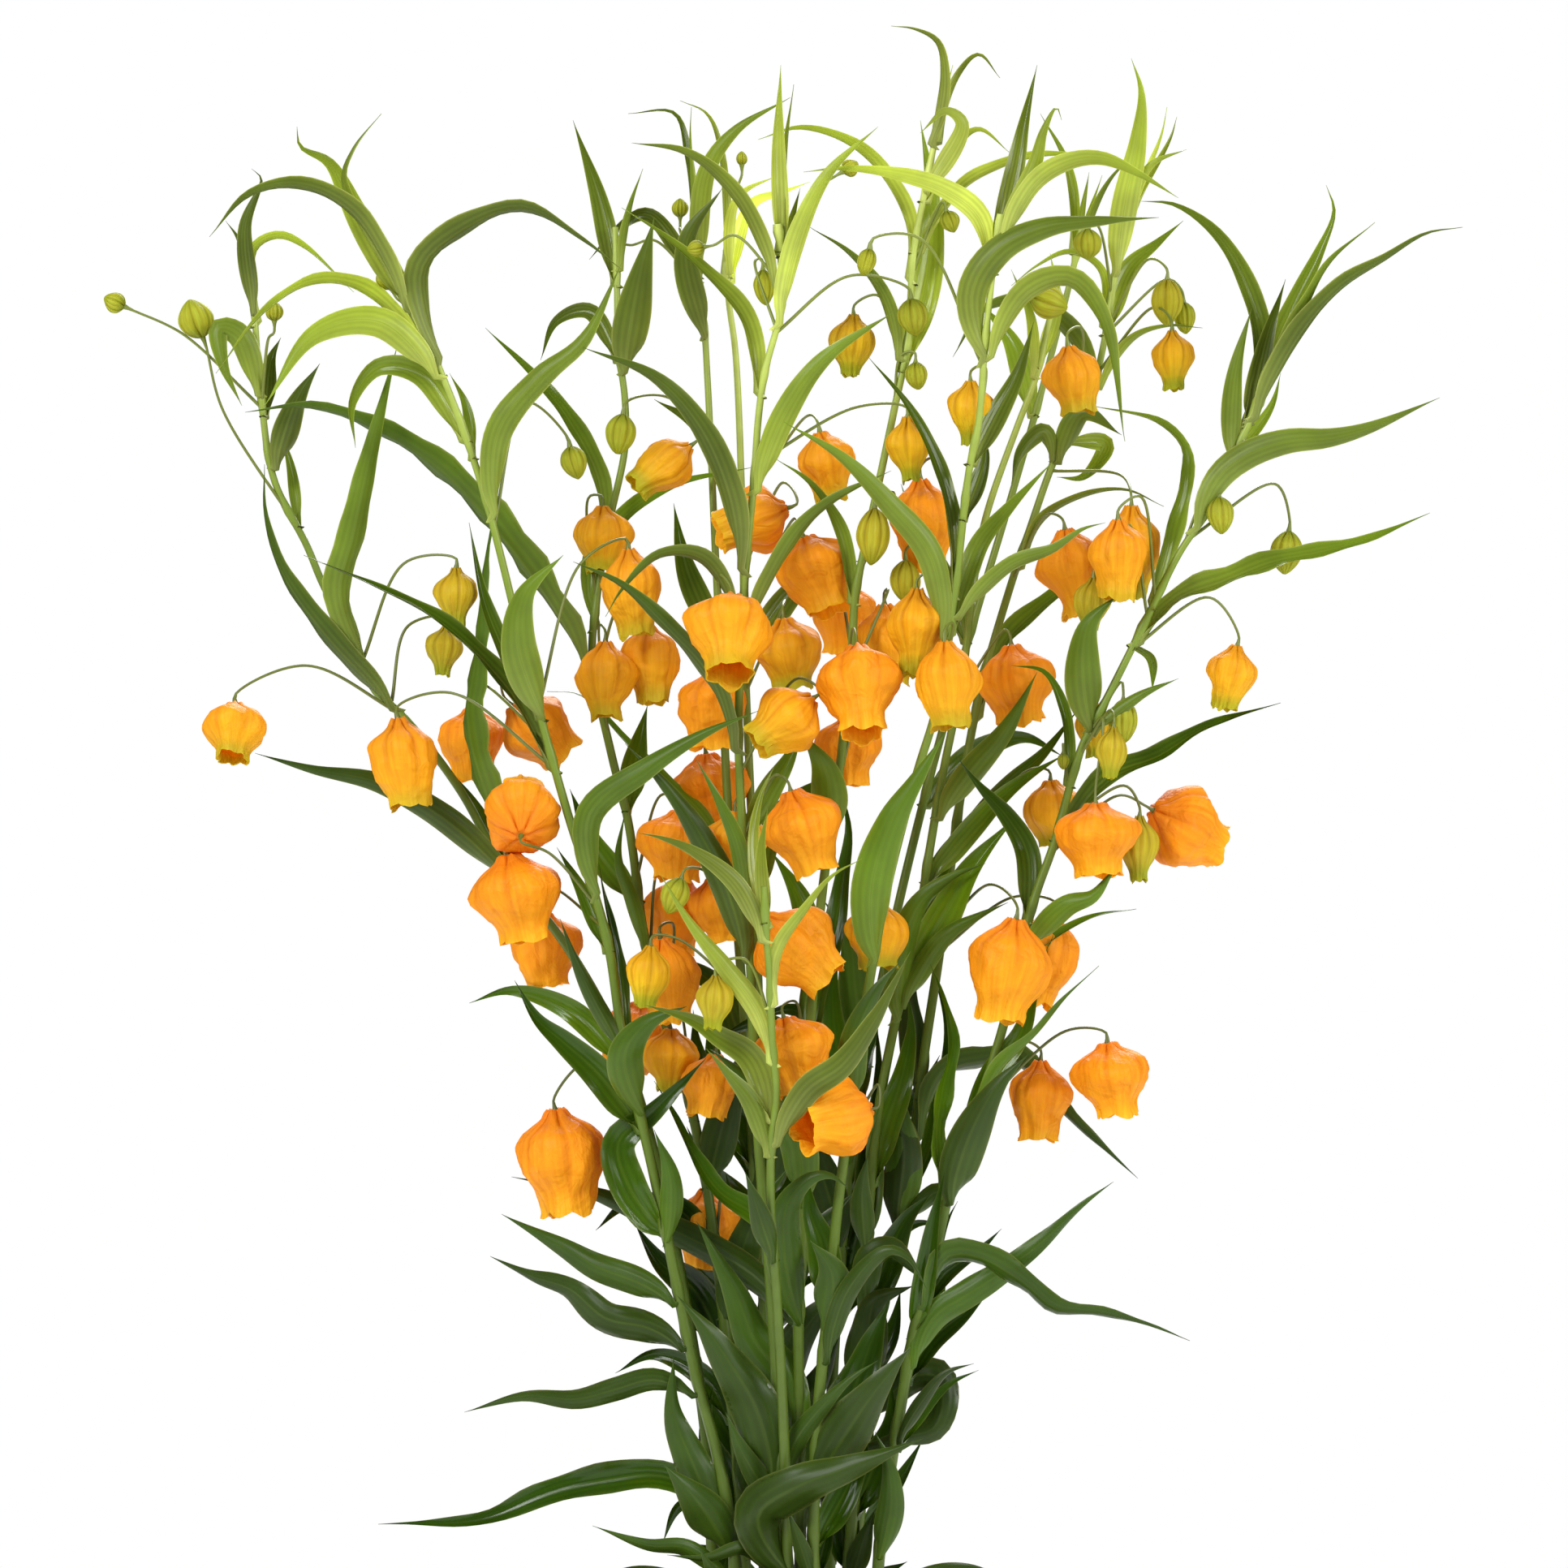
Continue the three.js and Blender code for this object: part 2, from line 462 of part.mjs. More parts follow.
      [10, 10, 120, 34, 129, 48, 136, 62, 134],
    ],
    flowers: [
      [498, 92, 521, 87.5, 516.5, -2, 18, 20.5, 8, 0, 0.8],
      [450, 80, 464, 86.5, 460, 10, 21, 26.5, 12, 0, 0.9],
      [343, 63, 350.5, 71.5, 340, -16, 24, 31, -10, 0, 0.95],
      [336, 70, 346.5, 83, 342, -2, 22, 28.5, -12, 0, 1],
      [484, 103, 477, 107, 467, -2, 18, 28, 0, 0, 0.7],
      [370, 76, 386, 82, 382.5, 20, 19, 20, 5, 0, 0.7],
      [514, 113, 528, 119.5, 521, 6, 12.5, 18, 2, 0, 0.5],
      [528, 112, 543, 118, 537, 14, 9.5, 14.5, 0, 0, 0.3],
      [526, 118, 537, 123, 530, 26, 6.5, 10, 5, 0, 0.2],
      [538, 97, 553, 93.5, 552.5, 30, 9, 9.5, 0, 0, 0.2],
    ],
  },
  far_right: {
    depth: [-6, -16],
    route: [
      29, 140, 32, 165, 36, 190, 40, 212, 46.8, 238, 51.4, 258, 58.5, 279, 67, 305, 76.8, 345,
      83.5, 364, 91.8, 393, 98, 405, 111, 431, 122, 453, 130, 465, 141, 488, 147, 501,
    ],
    leaves: [
      [7, 10, 493, 147, 515, 141, 538, 132, 552, 120, 560, 110, 561],
      [7, -6, 486, 139, 508, 144, 528],
      [7, 4, 497, 149, 520, 154.5, 537],
      [6, -10, 498, 160, 522, 172, 535, 185, 543, 198, 551, 209, 553],
      [6, 12, 499, 157, 528, 165, 545, 169.5, 558, 167, 566],
      [5, -6, 499, 160, 527, 168, 542, 182, 554.5],
      [4, 8, 487, 150, 498, 153, 508],
      [9, -12, 464, 134, 476, 143, 483, 155, 487, 168, 488, 180, 491, 202, 500.5],
      [6, 12, 429, 120, 438, 135, 444, 150, 450, 165, 453, 180, 457, 199, 465],
      [6, 14, 441, 119, 460, 123, 475, 123, 485, 115, 493, 95, 498],
      [12, -12, 403, 92, 420, 94, 431, 103, 440],
      [4, 8, 430, 113, 420, 113.5, 410],
      [4.5, -6, 403, 110, 409, 121.5, 414],
      [7, 10, 369, 100, 384, 115, 390, 130, 399, 153, 406.5],
      [4, 14, 386, 86, 404, 80, 416, 70, 418],
      [8, 8, 344, 75, 360, 69, 371, 60, 381, 53, 390],
      [8, -10, 336, 87, 344, 95, 347, 100, 353, 103, 357],
      [2.5, 12, 334, 95, 340.5, 108.5, 343],
      [8, 10, 276, 64, 292, 73, 305, 77, 320, 83, 335],
      [4, -10, 278, 66, 293, 78, 305, 87, 316, 97, 325.5],
      [13, -14, 257, 58, 275, 66, 289, 75, 298],
      [9, -10, 206, 46, 217, 56, 224, 67, 231, 80, 241, 92, 252, 101.5, 259],
      [8, 12, 202, 45, 210, 56, 219, 66, 229],
      [8, -14, 224, 50, 236, 60, 236, 74, 228, 84, 220, 98, 218.5, 112, 215, 125, 210],
      [6, 12, 225, 50, 231, 60, 238, 67, 244.5],
      [3, 8, 234, 51, 248, 53.5, 253],
      [8, 16, 212, 47, 225, 49, 238],
      [5, -10, 184, 43, 192, 50, 200, 58.5, 203],
      [4, 10, 182, 50, 196, 60, 201],
      [9, -6, 148, 33, 160, 32, 172, 28, 182],
      [9, -16, 126, 40, 134, 56, 139, 74, 134],
    ],
    flowers: [
      [444, 110, 470, 103, 463, 4, 18, 24, 0, 0, 0.85],
      [366, 103, 378, 113.5, 373.5, 0, 25, 26, 60, -28, 1],
      [402, 98, 402, 96, 375.8, -12, 26, 22, 2, 4, 1],
      [288, 72, 302, 79, 296.5, 4, 19, 24, -2, 0, 1],
      [286, 87, 305.5, 99.5, 302, -14, 24, 22.5, 8, 0, 1],
      [429, 131, 439, 139.5, 424, -8, 14.5, 19.5, -12, 0, 0.7],
      [439, 106, 461.5, 95.5, 445, -22, 11.5, 15.5, -4, 0, 0.35],
      [403, 92, 412, 95.5, 406.5, 4, 11, 17, 0, 0, 0.45],
      [396, 100, 404, 101.5, 399, -22, 9.5, 15.5, -4, 0, 0.35],
      [374, 105, 381, 109.5, 371.5, -20, 12.5, 19.5, 0, 0, 0.35],
      [402, 104, 413, 104.5, 407.5, -12, 8.5, 13.5, 0, 0, 0.25],
      [460, 131, 473, 134, 470, -16, 8, 11.5, 4, 0, 0.25],
      [463, 151, 474, 155.5, 459.5, -6, 9.5, 13.5, -6, 0, 0.25],
      [386, 86, 393, 86, 391, -14, 3.5, 5, 0, 0, 0.1],
    ],
  },
};

// Solids: closed surfaces lofted through rings of points, joined and cut as manifolds.
// A ring of one point is a tip.
function loft(rings) {
  const points = [];
  const starts = rings.map((ring) => {
    points.push(...ring);
    return points.length - ring.length;
  });
  const faces = [];
  for (let i = 0; i + 1 < rings.length; i++) {
    const a = rings[i].length;
    const b = rings[i + 1].length;
    const n = Math.max(a, b);
    for (let k = 0; k < n; k++) {
      const a0 = starts[i] + Math.floor((k * a) / n);
      const a1 = starts[i] + (Math.floor(((k + 1) * a) / n) % a);
      const b0 = starts[i + 1] + Math.floor((k * b) / n);
      const b1 = starts[i + 1] + (Math.floor(((k + 1) * b) / n) % b);
      // The diagonal that keeps the solid fuller, so that a twisted thin blade never folds through itself
      const [p, q, r, s] = [a0, a1, b1, b0].map((j) => points[j]);
      const hollow = q.clone().sub(p).cross(r.clone().sub(p)).dot(s.clone().sub(p)) > 0;
      const pair = hollow ? [[a0, a1, b0], [a1, b1, b0]] : [[a0, a1, b1], [a0, b1, b0]];
      for (const face of pair) if (new Set(face).size === 3) faces.push(...face);
    }
  }
  const last = rings.length - 1;
  for (let k = 1; k + 1 < rings[0].length; k++) faces.push(starts[0], starts[0] + k + 1, starts[0] + k);
  for (let k = 1; k + 1 < rings[last].length; k++) {
    faces.push(starts[last], starts[last] + k, starts[last] + k + 1);
  }
  return new wasm.Manifold(
    new wasm.Mesh({
      numProp: 3,
      vertProperties: new Float32Array(points.flatMap((p) => [p.x, p.y, p.z])),
      triVerts: new Uint32Array(faces),
    }),
  );
}

function solidOf(geometry) {
  geometry.deleteAttribute("normal");
  geometry.deleteAttribute("uv");
  const merged = mergeVertices(geometry, 1e-4);
  return new wasm.Manifold(
    new wasm.Mesh({
      numProp: 3,
      vertProperties: merged.attributes.position.array,
      triVerts: new Uint32Array(merged.index.array),
    }),
  );
}

function meshOf(solid, name, material) {
  const made = solid.getMesh();
  const geometry = new THREE.BufferGeometry();
  geometry.setAttribute("position", new THREE.BufferAttribute(made.vertProperties, 3));
  geometry.setIndex(new THREE.BufferAttribute(made.triVerts, 1));
  geometry.computeVertexNormals();
  const mesh = new THREE.Mesh(geometry, material);
  mesh.name = name;
  return mesh;
}

// A ring of points round a centre, across two perpendicular directions
function ringAround(centre, u, v, radii, turn = 0) {
  return radii.map((radius, k) => {
    const angle = turn + (k / radii.length) * 2 * Math.PI;
    return centre
      .clone()
      .addScaledVector(u, radius * Math.cos(angle))
      .addScaledVector(v, radius * Math.sin(angle));
  });
}

function placeDrawn(x, z, y) {
  const k = 1 + y / EYE_DISTANCE;
  return new THREE.Vector3(x * k, y, EYE_HEIGHT + (z - EYE_HEIGHT) * k);
}

// Points at even shares of the length of a smooth curve through the given points
const FINE = 96;
function evenly(points, shares) {
  const fine = new THREE.CatmullRomCurve3(points).getPoints(FINE);
  const run = [0];
  for (let i = 1; i < fine.length; i++) run.push(run[i - 1] + fine[i].distanceTo(fine[i - 1]));
  const length = run[run.length - 1];
  return shares.map((share) => {
    let i = 1;
    while (i < FINE && run[i] < share * length) i++;
    const part = (share * length - run[i - 1]) / (run[i] - run[i - 1]);
    return fine[i - 1].clone().lerp(fine[i], part);
  });
}

const shares = (n) => Array.from({ length: n + 1 }, (_, i) => i / n);

// Rings of a thin tube. Its radius runs evenly from end to end. The last ring starts towards across.
function tubeRings(centres, sides, radiusFrom, radiusTo, across = new THREE.Vector3(1, 0, 0)) {
  const steps = centres.length - 1;
  const rings = [];
  for (let i = steps; i >= 0; i--) {
    const along = centres[Math.min(i + 1, steps)].clone().sub(centres[Math.max(i - 1, 0)]).normalize();
    across = across.clone().addScaledVector(along, -across.dot(along)).normalize();
    const radius = radiusFrom + ((radiusTo - radiusFrom) * i) / steps;
    const radii = new Array(sides).fill(radius);
    rings.unshift(ringAround(centres[i], across, along.clone().cross(across), radii));
  }
  return rings;
}

// Stems
function stemDepth(shoot, z) {
  const top = shoot.route[shoot.route.length - 1];
  const share = THREE.MathUtils.clamp((z - DRAWN_FROM_Z) / (top - DRAWN_FROM_Z), 0, 1);
  return shoot.depth[0] + (shoot.depth[1] - shoot.depth[0]) * share ** 1.2;
}

function stemPoints(shoot) {
  const points = [];
  for (let i = 0; i < shoot.route.length; i += 2) {
    const [x, z] = shoot.route.slice(i, i + 2);
    points.push(placeDrawn(x, z, stemDepth(shoot, z)));
  }
  const foot = points[0];
  return [
    new THREE.Vector3(foot.x, foot.y, STEM_FOOT_Z),
    new THREE.Vector3(foot.x, foot.y, STEM_STRAIGHT_TO_Z),
    ...points,
  ];
}

function centreLine(shoot) {
  const points = stemPoints(shoot);
  let length = 0;
  for (let i = 1; i < points.length; i++) length += points[i].distanceTo(points[i - 1]);
  return evenly(points, shares(Math.round(length / STEM_STEP)));
}

// The point on a stem's centre line that is drawn at height z
function onStem(shoot, z) {
  const line = centreLine(shoot);
  const drawnZ = (p) => EYE_HEIGHT + (p.z - EYE_HEIGHT) / (1 + p.y / EYE_DISTANCE);
  let i = 1;
  while (i + 1 < line.length && drawnZ(line[i]) < z) i++;
  const [from, to] = [drawnZ(line[i - 1]), drawnZ(line[i])];
  return line[i - 1].clone().lerp(line[i], Math.min((z - from) / (to - from), 1));
}

function makeStem(shoot) {
  return loft(tubeRings(centreLine(shoot), 5, STEM_FOOT_RADIUS, STEM_TIP_RADIUS));
}

// Leaves: a blade that is flat above and keeled below, widest a third of the way out
function leafWidth(share) {
  return Math.sin(Math.PI * share ** 0.6) ** 1.15;
}

function makeLeaf(shoot, row, index, bend, margin) {
  const [apparent, reach, baseZ, ...drawn] = row;
  const rootZ = Math.max(baseZ - ROOT_DEPTH, LOWEST_ROOT_Z);
  const base = onStem(shoot, rootZ);
  const flat = [new THREE.Vector3(base.x / (1 + base.y / EYE_DISTANCE), 0, rootZ)];
  for (let i = 0; i < drawn.length; i += 2) flat.push(new THREE.Vector3(drawn[i], 0, drawn[i + 1]));
  const tip = flat[flat.length - 1];
  let length = 0;
  for (let i = 1; i < flat.length; i++) length += flat[i].distanceTo(flat[i - 1]);
  const steps = Math.min(flat.length, 5);
  const stations = shares(steps).map((share) => 1 - (1 - share) ** 1.15);
  const line = evenly(flat, stations).map((p, i) =>
    placeDrawn(p.x, p.z, base.y + (reach + bend) * Math.sin((stations[i] * Math.PI) / 2)),
  );
  const width = Math.min(Math.max(apparent, 0.085 * length + 1), 2.4 * apparent) + 2 * margin;
  const roll = Math.acos(Math.min(1, (apparent + 2 * margin) / width));
  const side = tip.x > flat[0].x ? 1 : -1;
  const facing = reach < 0 ? 1 : -1;
  const rings = line.map((centre, i) => {
    if (i === 0 || i === steps) return [centre];
    const share = stations[i];
    const along = line[Math.min(i + 1, steps)].clone().sub(line[Math.max(i - 1, 0)]).normalize();
    const angle = roll + (index % 2 ? 0.5 : -0.5) * (share - 0.3);
    const upper = new THREE.Vector3(-side * along.z, 0, side * along.x).normalize();
    upper.multiplyScalar(Math.sin(angle));
    upper.y = facing * Math.cos(angle);
    upper.addScaledVector(along, -upper.dot(along)).normalize();
    const across = upper.clone().cross(along);
    const half = (width / 2) * leafWidth(share);
    const keel = LEAF_THICKNESS * (1 - 0.4 * share) + margin;
    return [
      centre.clone().addScaledVector(upper, margin).addScaledVector(across, half),
      centre.clone().addScaledVector(upper, margin).addScaledVector(across, -half),
      centre.clone().addScaledVector(upper, -keel),
    ];
  });
  return loft(rings);
}

// Flowers: a six-ribbed lantern with an open, lobed mouth, or a closed bud while it is green
function flowerRings(neck, axis, u, width, length, ripeness) {
  const v = axis.clone().cross(u);
  const at = (share) => neck.clone().addScaledVector(axis, share * length);
  const ring = (share, radii) => ringAround(at(share), u, v, radii.map((r) => (r * width) / 2));
  const six = (r) => new Array(6).fill(r);
  const ribbed = Array.from({ length: 12 }, (_, k) => (k % 2 ? 0.94 : 1));
  if (ripeness < 0.32) return [ring(0.12, six(0.5)), ring(0.5, six(1.06)), ring(0.86, six(0.6)), [at(1)]];
  const mouth = THREE.MathUtils.lerp(0.3, 0.6, THREE.MathUtils.clamp((ripeness - 0.3) / 0.6, 0, 1));
  return [
    ring(0.01, six(0.42)),
    ring(THREE.MathUtils.lerp(0.44, 0.34, ripeness), ribbed),
    ring(0.8, six(mouth + 0.12)),
    ring(0.98, six(mouth + 0.06)),
    ring(0.66, six((mouth + 0.1) * 0.64)),
    [at(0.3)],
  ];
}

function makeBloom(shoot, row, index, bend, margin) {
  const [baseZ, archX, archZ, neckX, neckZ, depth, drawnWidth, length, tilt, nod, ripeness] = row;
  const width = drawnWidth + 2 * margin;
  const t = THREE.MathUtils.degToRad(tilt);
  const n = THREE.MathUtils.degToRad(nod);
  const axis = new THREE.Vector3(Math.sin(t) * Math.cos(n), -Math.sin(n), -Math.cos(t) * Math.cos(n));
  const u = new THREE.Vector3(1, 0, 0);
  u.addScaledVector(axis, -u.dot(axis)).normalize().applyAxisAngle(axis, index * 0.7);
  const base = onStem(shoot, Math.max(baseZ - ROOT_DEPTH, DRAWN_FROM_Z));
  const y = depth + bend;
  const neck = placeDrawn(neckX, neckZ, y);
  const arch = placeDrawn(archX, archZ, (base.y + y) / 2);
  const route = [base, arch, neck.clone().addScaledVector(axis, -3), neck];
  const centres = evenly(route, shares(width < 8 ? 3 : 4));
  const stalk = tubeRings(centres, 3, STALK_RADIUS * 1.4 + margin, STALK_RADIUS + margin, u);
  stalk[0] = [base];
  if (ripeness <= OWN_NODE_RIPENESS) {
    return { onShoot: loft([...stalk, ...flowerRings(neck, axis, u, width, length, ripeness)]) };
  }
  const top = neck.clone().addScaledVector(axis, SEAT_GAP);
  return { onShoot: loft(stalk), own: loft(flowerRings(top, axis, u, width, length, ripeness)) };
}

// Bending clear: each piece takes the first bend that crosses nothing of another node and little of its own
const OWN_CROSSING = 1.2;
const placed = [];

function boxesMeet(a, b) {
  return [0, 1, 2].every((i) => a.min[i] <= b.max[i] && b.min[i] <= a.max[i]);
}

function crossing(solid, owner) {
  const box = solid.boundingBox();
  let foreign = 0;
  let own = 0;
  for (const other of placed) {
    if (!boxesMeet(box, other.box) || (other.isStem && other.owner === owner)) continue;
    const volume = solid.intersect(other.solid).volume();
    if (other.owner === owner) own += volume;
    else foreign += volume;
  }
  return { foreign, own };
}

function best(tries) {
  let chosen = null;
  for (const bend of BENDS) {
    const { foreign, own } = tries(bend);
    if (foreign > 0) continue;
    if (own <= OWN_CROSSING) return bend;
    if (chosen === null || own < chosen.own) chosen = { bend, own };
  }
  return chosen ? chosen.bend : null;
}

const nodes = new Map();
function addTo(name, solid, isStem = false) {
  if (!nodes.has(name)) nodes.set(name, []);
  nodes.get(name).push(solid);
  placed.push({ solid, owner: name, isStem, box: solid.boundingBox() });
}

for (const [name, shoot] of Object.entries(SHOOTS)) addTo("shoot_" + name, makeStem(shoot), true);

const dropped = [];
for (const [name, shoot] of Object.entries(SHOOTS)) {
  const owner = "shoot_" + name;
  shoot.flowers.forEach((row, index) => {
    const bellName = "bell_" + name + "_" + (index + 1);
    const bend = best((y) => {
      const { onShoot, own } = makeBloom(shoot, row, index, y, CLEARANCE);
      const found = crossing(onShoot, owner);
      if (!own) return found;
      const trueSize = makeBloom(shoot, row, index, y, 0);
      found.foreign += crossing(own, bellName).foreign + trueSize.own.intersect(trueSize.onShoot).volume();
      return found;
    });
    if (bend === null) return dropped.push(bellName);
    const { onShoot, own } = makeBloom(shoot, row, index, bend, 0);
    addTo(owner, onShoot);
    if (own) addTo(bellName, own);
  });
}

for (const [name, shoot] of Object.entries(SHOOTS)) {
  const owner = "shoot_" + name;
  shoot.leaves.forEach((row, index) => {
    const bend = best((y) => crossing(makeLeaf(shoot, row, index, y, CLEARANCE), owner));
    if (bend === null) return dropped.push("leaf " + name + " " + index);
    addTo(owner, makeLeaf(shoot, row, index, bend, 0));
  });
}

// Pot: turned clay with a thick rim band, and drain holes round the middle of its foot
const potMaterial = new THREE.MeshStandardMaterial({ color: 0xb5683f, roughness: 0.9, metalness: 0 });
const innerSlope = (POT_RIM_RADIUS - 4 - POT_FOOT_RADIUS) / (POT_HEIGHT - RIM_BAND);
const potProfile = [
  [0, 0],
  [POT_FOOT_RADIUS - 1.5, 0],
  [POT_FOOT_RADIUS, 1.5],
  [POT_RIM_RADIUS - 4, POT_HEIGHT - RIM_BAND],
  [POT_RIM_RADIUS, POT_HEIGHT - RIM_BAND],
  [POT_RIM_RADIUS, POT_HEIGHT - 2],
  [POT_RIM_RADIUS - 2, POT_HEIGHT],
  [POT_RIM_RADIUS - POT_WALL, POT_HEIGHT],
  [POT_FOOT_RADIUS - POT_WALL + innerSlope * POT_WALL, POT_WALL + 1],
  [0, POT_WALL + 1],
].map(([r, z]) => new THREE.Vector2(r, z));
let pot = solidOf(new THREE.LatheGeometry(potProfile, POT_SIDES).rotateX(Math.PI / 2));
for (let i = 0; i < DRAIN_HOLES; i++) {
  const hole = new THREE.CylinderGeometry(DRAIN_RADIUS, DRAIN_RADIUS, 4 * POT_WALL, 10);
  hole.rotateX(Math.PI / 2).translate(DRAIN_CIRCLE, 0, 0).rotateZ((i / DRAIN_HOLES) * 2 * Math.PI);
  pot = pot.subtract(solidOf(hole));
}
nodes.set("pot", [pot]);

// Soil: one block that fills the pot, uneven on top, with a plain hole for each stem
const SOIL_RINGS = [34];
const soilFootRadius = POT_FOOT_RADIUS - POT_WALL + innerSlope * POT_WALL - SEAT_GAP;
const potWallTop = POT_RIM_RADIUS - POT_WALL;
const soilSlope = (potWallTop - soilFootRadius - SEAT_GAP) / (POT_HEIGHT - POT_WALL);
const soilRadius = soilFootRadius + soilSlope * (SOIL_TOP - POT_WALL) - SEAT_GAP;
const soilProfile = [
  new THREE.Vector2(0, POT_WALL + 1 + SEAT_GAP),
  new THREE.Vector2(soilFootRadius - 0.5, POT_WALL + 1 + SEAT_GAP),
  new THREE.Vector2(soilRadius, SOIL_TOP - 3),
  ...SOIL_RINGS.slice()
    .reverse()
    .map((r) => new THREE.Vector2(r, SOIL_TOP)),
  new THREE.Vector2(0, SOIL_TOP),
];
const soilGeometry = new THREE.LatheGeometry(soilProfile, POT_SIDES).rotateX(Math.PI / 2);
const soilPoints = soilGeometry.attributes.position;
for (let i = 0; i < soilPoints.count; i++) {
  const [x, y, z] = [soilPoints.getX(i), soilPoints.getY(i), soilPoints.getZ(i)];
  if (z < SOIL_TOP - 1) continue;
  const hump = Math.sin(x * 0.21 + 1) * Math.cos(y * 0.17) + 0.6 * Math.sin(x * 0.09 - y * 0.13);
  soilPoints.setZ(i, z + SOIL_ROUGHNESS * 0.6 * hump);
}
let soil = solidOf(soilGeometry);
for (const shoot of Object.values(SHOOTS)) {
  const foot = stemPoints(shoot)[0];
  const hole = [foot.clone().setZ(STEM_FOOT_Z - SEAT_GAP), foot.clone().setZ(SOIL_TOP + 20)];
  soil = soil.subtract(loft(tubeRings(hole, 5, STEM_FOOT_RADIUS + 0.45, STEM_FOOT_RADIUS + 0.45)));
}
nodes.set("soil", [soil]);

// The whole: a mesh for each node, the pieces of a shoot joined in one
const leafMaterial = new THREE.MeshStandardMaterial({ color: 0x4f8a24, roughness: 0.5, metalness: 0 });
const petalMaterial = new THREE.MeshStandardMaterial({ color: 0xf58a1c, roughness: 0.6, metalness: 0 });
const soilMaterial = new THREE.MeshStandardMaterial({ color: 0x2e2018, roughness: 1, metalness: 0 });

function materialOf(name) {
  if (name === "pot") return potMaterial;
  if (name === "soil") return soilMaterial;
  return name.startsWith("bell_") ? petalMaterial : leafMaterial;
}

const plant = new THREE.Group();
for (const [name, solids] of nodes) {
  plant.add(meshOf(wasm.Manifold.union(solids), name, materialOf(name)));
}
if (dropped.length) console.log("no room for: " + dropped.join(", "));

export default plant;
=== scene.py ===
import math
import random
from collections import namedtuple

import bpy
import numpy as np
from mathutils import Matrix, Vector, noise


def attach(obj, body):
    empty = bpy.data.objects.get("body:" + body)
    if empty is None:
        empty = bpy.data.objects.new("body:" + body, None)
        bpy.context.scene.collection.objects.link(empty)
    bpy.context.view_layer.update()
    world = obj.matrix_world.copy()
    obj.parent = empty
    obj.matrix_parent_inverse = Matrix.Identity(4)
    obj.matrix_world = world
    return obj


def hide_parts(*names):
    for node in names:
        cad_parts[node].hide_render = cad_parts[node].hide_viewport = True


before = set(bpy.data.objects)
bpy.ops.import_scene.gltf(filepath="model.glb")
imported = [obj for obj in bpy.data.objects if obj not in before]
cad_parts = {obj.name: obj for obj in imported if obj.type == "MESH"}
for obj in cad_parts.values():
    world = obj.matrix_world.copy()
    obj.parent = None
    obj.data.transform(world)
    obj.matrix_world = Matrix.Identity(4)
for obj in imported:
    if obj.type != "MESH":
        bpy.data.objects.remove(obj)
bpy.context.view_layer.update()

# Pot
# A flower pot of fired red clay, turned on a wheel, with a thick rim band and three drain holes in its foot.
# It is left unglazed, so that the wall is matt, with faint turning lines and pale lime marks.
MM = 0.001
POT_HEIGHT = 120
FOOT_RADIUS = 50
RIM_RADIUS = 72
MOUTH_RADIUS = 67
BAND_FOOT = 96
FLOOR_TOP = 6
WHEEL_STEPS = 120
DRAIN_HOLES = 3
DRAIN_CIRCLE = 26
DRAIN_RADIUS = 4.5
DRILL_SIDES = 40
DRILL_LENGTH = 20
POT_CREASE = 40

# Radius and height, from the middle of the foot up the outside, over the rim and down to the middle again.
POT_PROFILE = [
    (0, 0),
    (FOOT_RADIUS - 1.5, 0),
    (FOOT_RADIUS, 1.5),
    (67.6, BAND_FOOT - 1),
    (68, BAND_FOOT),
    (RIM_RADIUS - 1, BAND_FOOT),
    (RIM_RADIUS, BAND_FOOT + 1.2),
    (RIM_RADIUS, POT_HEIGHT - 2),
    (RIM_RADIUS - 0.8, POT_HEIGHT - 0.6),
    (RIM_RADIUS - 2, POT_HEIGHT),
    (MOUTH_RADIUS + 1.2, POT_HEIGHT),
    (MOUTH_RADIUS, POT_HEIGHT - 1),
    (FOOT_RADIUS - 4.06, FLOOR_TOP + 0.6),
    (FOOT_RADIUS - 5, FLOOR_TOP),
    (0, FLOOR_TOP),
]


def add_node(tree, kind, inputs=None, **settings):
    node = tree.nodes.new(kind)
    for name, value in settings.items():
        setattr(node, name, value)
    for name, value in (inputs or {}).items():
        if isinstance(value, bpy.types.NodeSocket):
            tree.links.new(value, node.inputs[name])
        else:
            node.inputs[name].default_value = value
    return node


def new_material(name):
    material = bpy.data.materials.new(name)
    material.use_nodes = True
    material.node_tree.nodes.clear()
    return material, material.node_tree


def wear_surface(tree, surface):
    output = add_node(tree, "ShaderNodeOutputMaterial")
    tree.links.new(surface.outputs[0], output.inputs["Surface"])


def add_ramp(tree, factor, stops):
    node = add_node(tree, "ShaderNodeValToRGB", {"Fac": factor})
    elements = node.color_ramp.elements
    elements[0].position, elements[0].color = stops[0][0], (*stops[0][1], 1)
    elements[1].position, elements[1].color = stops[-1][0], (*stops[-1][1], 1)
    for position, colour in stops[1:-1]:
        elements.new(position).color = (*colour, 1)
    return node.outputs["Color"]


def add_math(tree, operation, *values, clamp=False):
    return add_node(
        tree, "ShaderNodeMath", dict(enumerate(values)), operation=operation, use_clamp=clamp
    ).outputs["Value"]


def add_mix(tree, factor, a, b, blend="MIX"):
    return add_node(
        tree, "ShaderNodeMix", {"Factor": factor, 6: a, 7: b}, data_type="RGBA", blend_type=blend
    ).outputs[2]


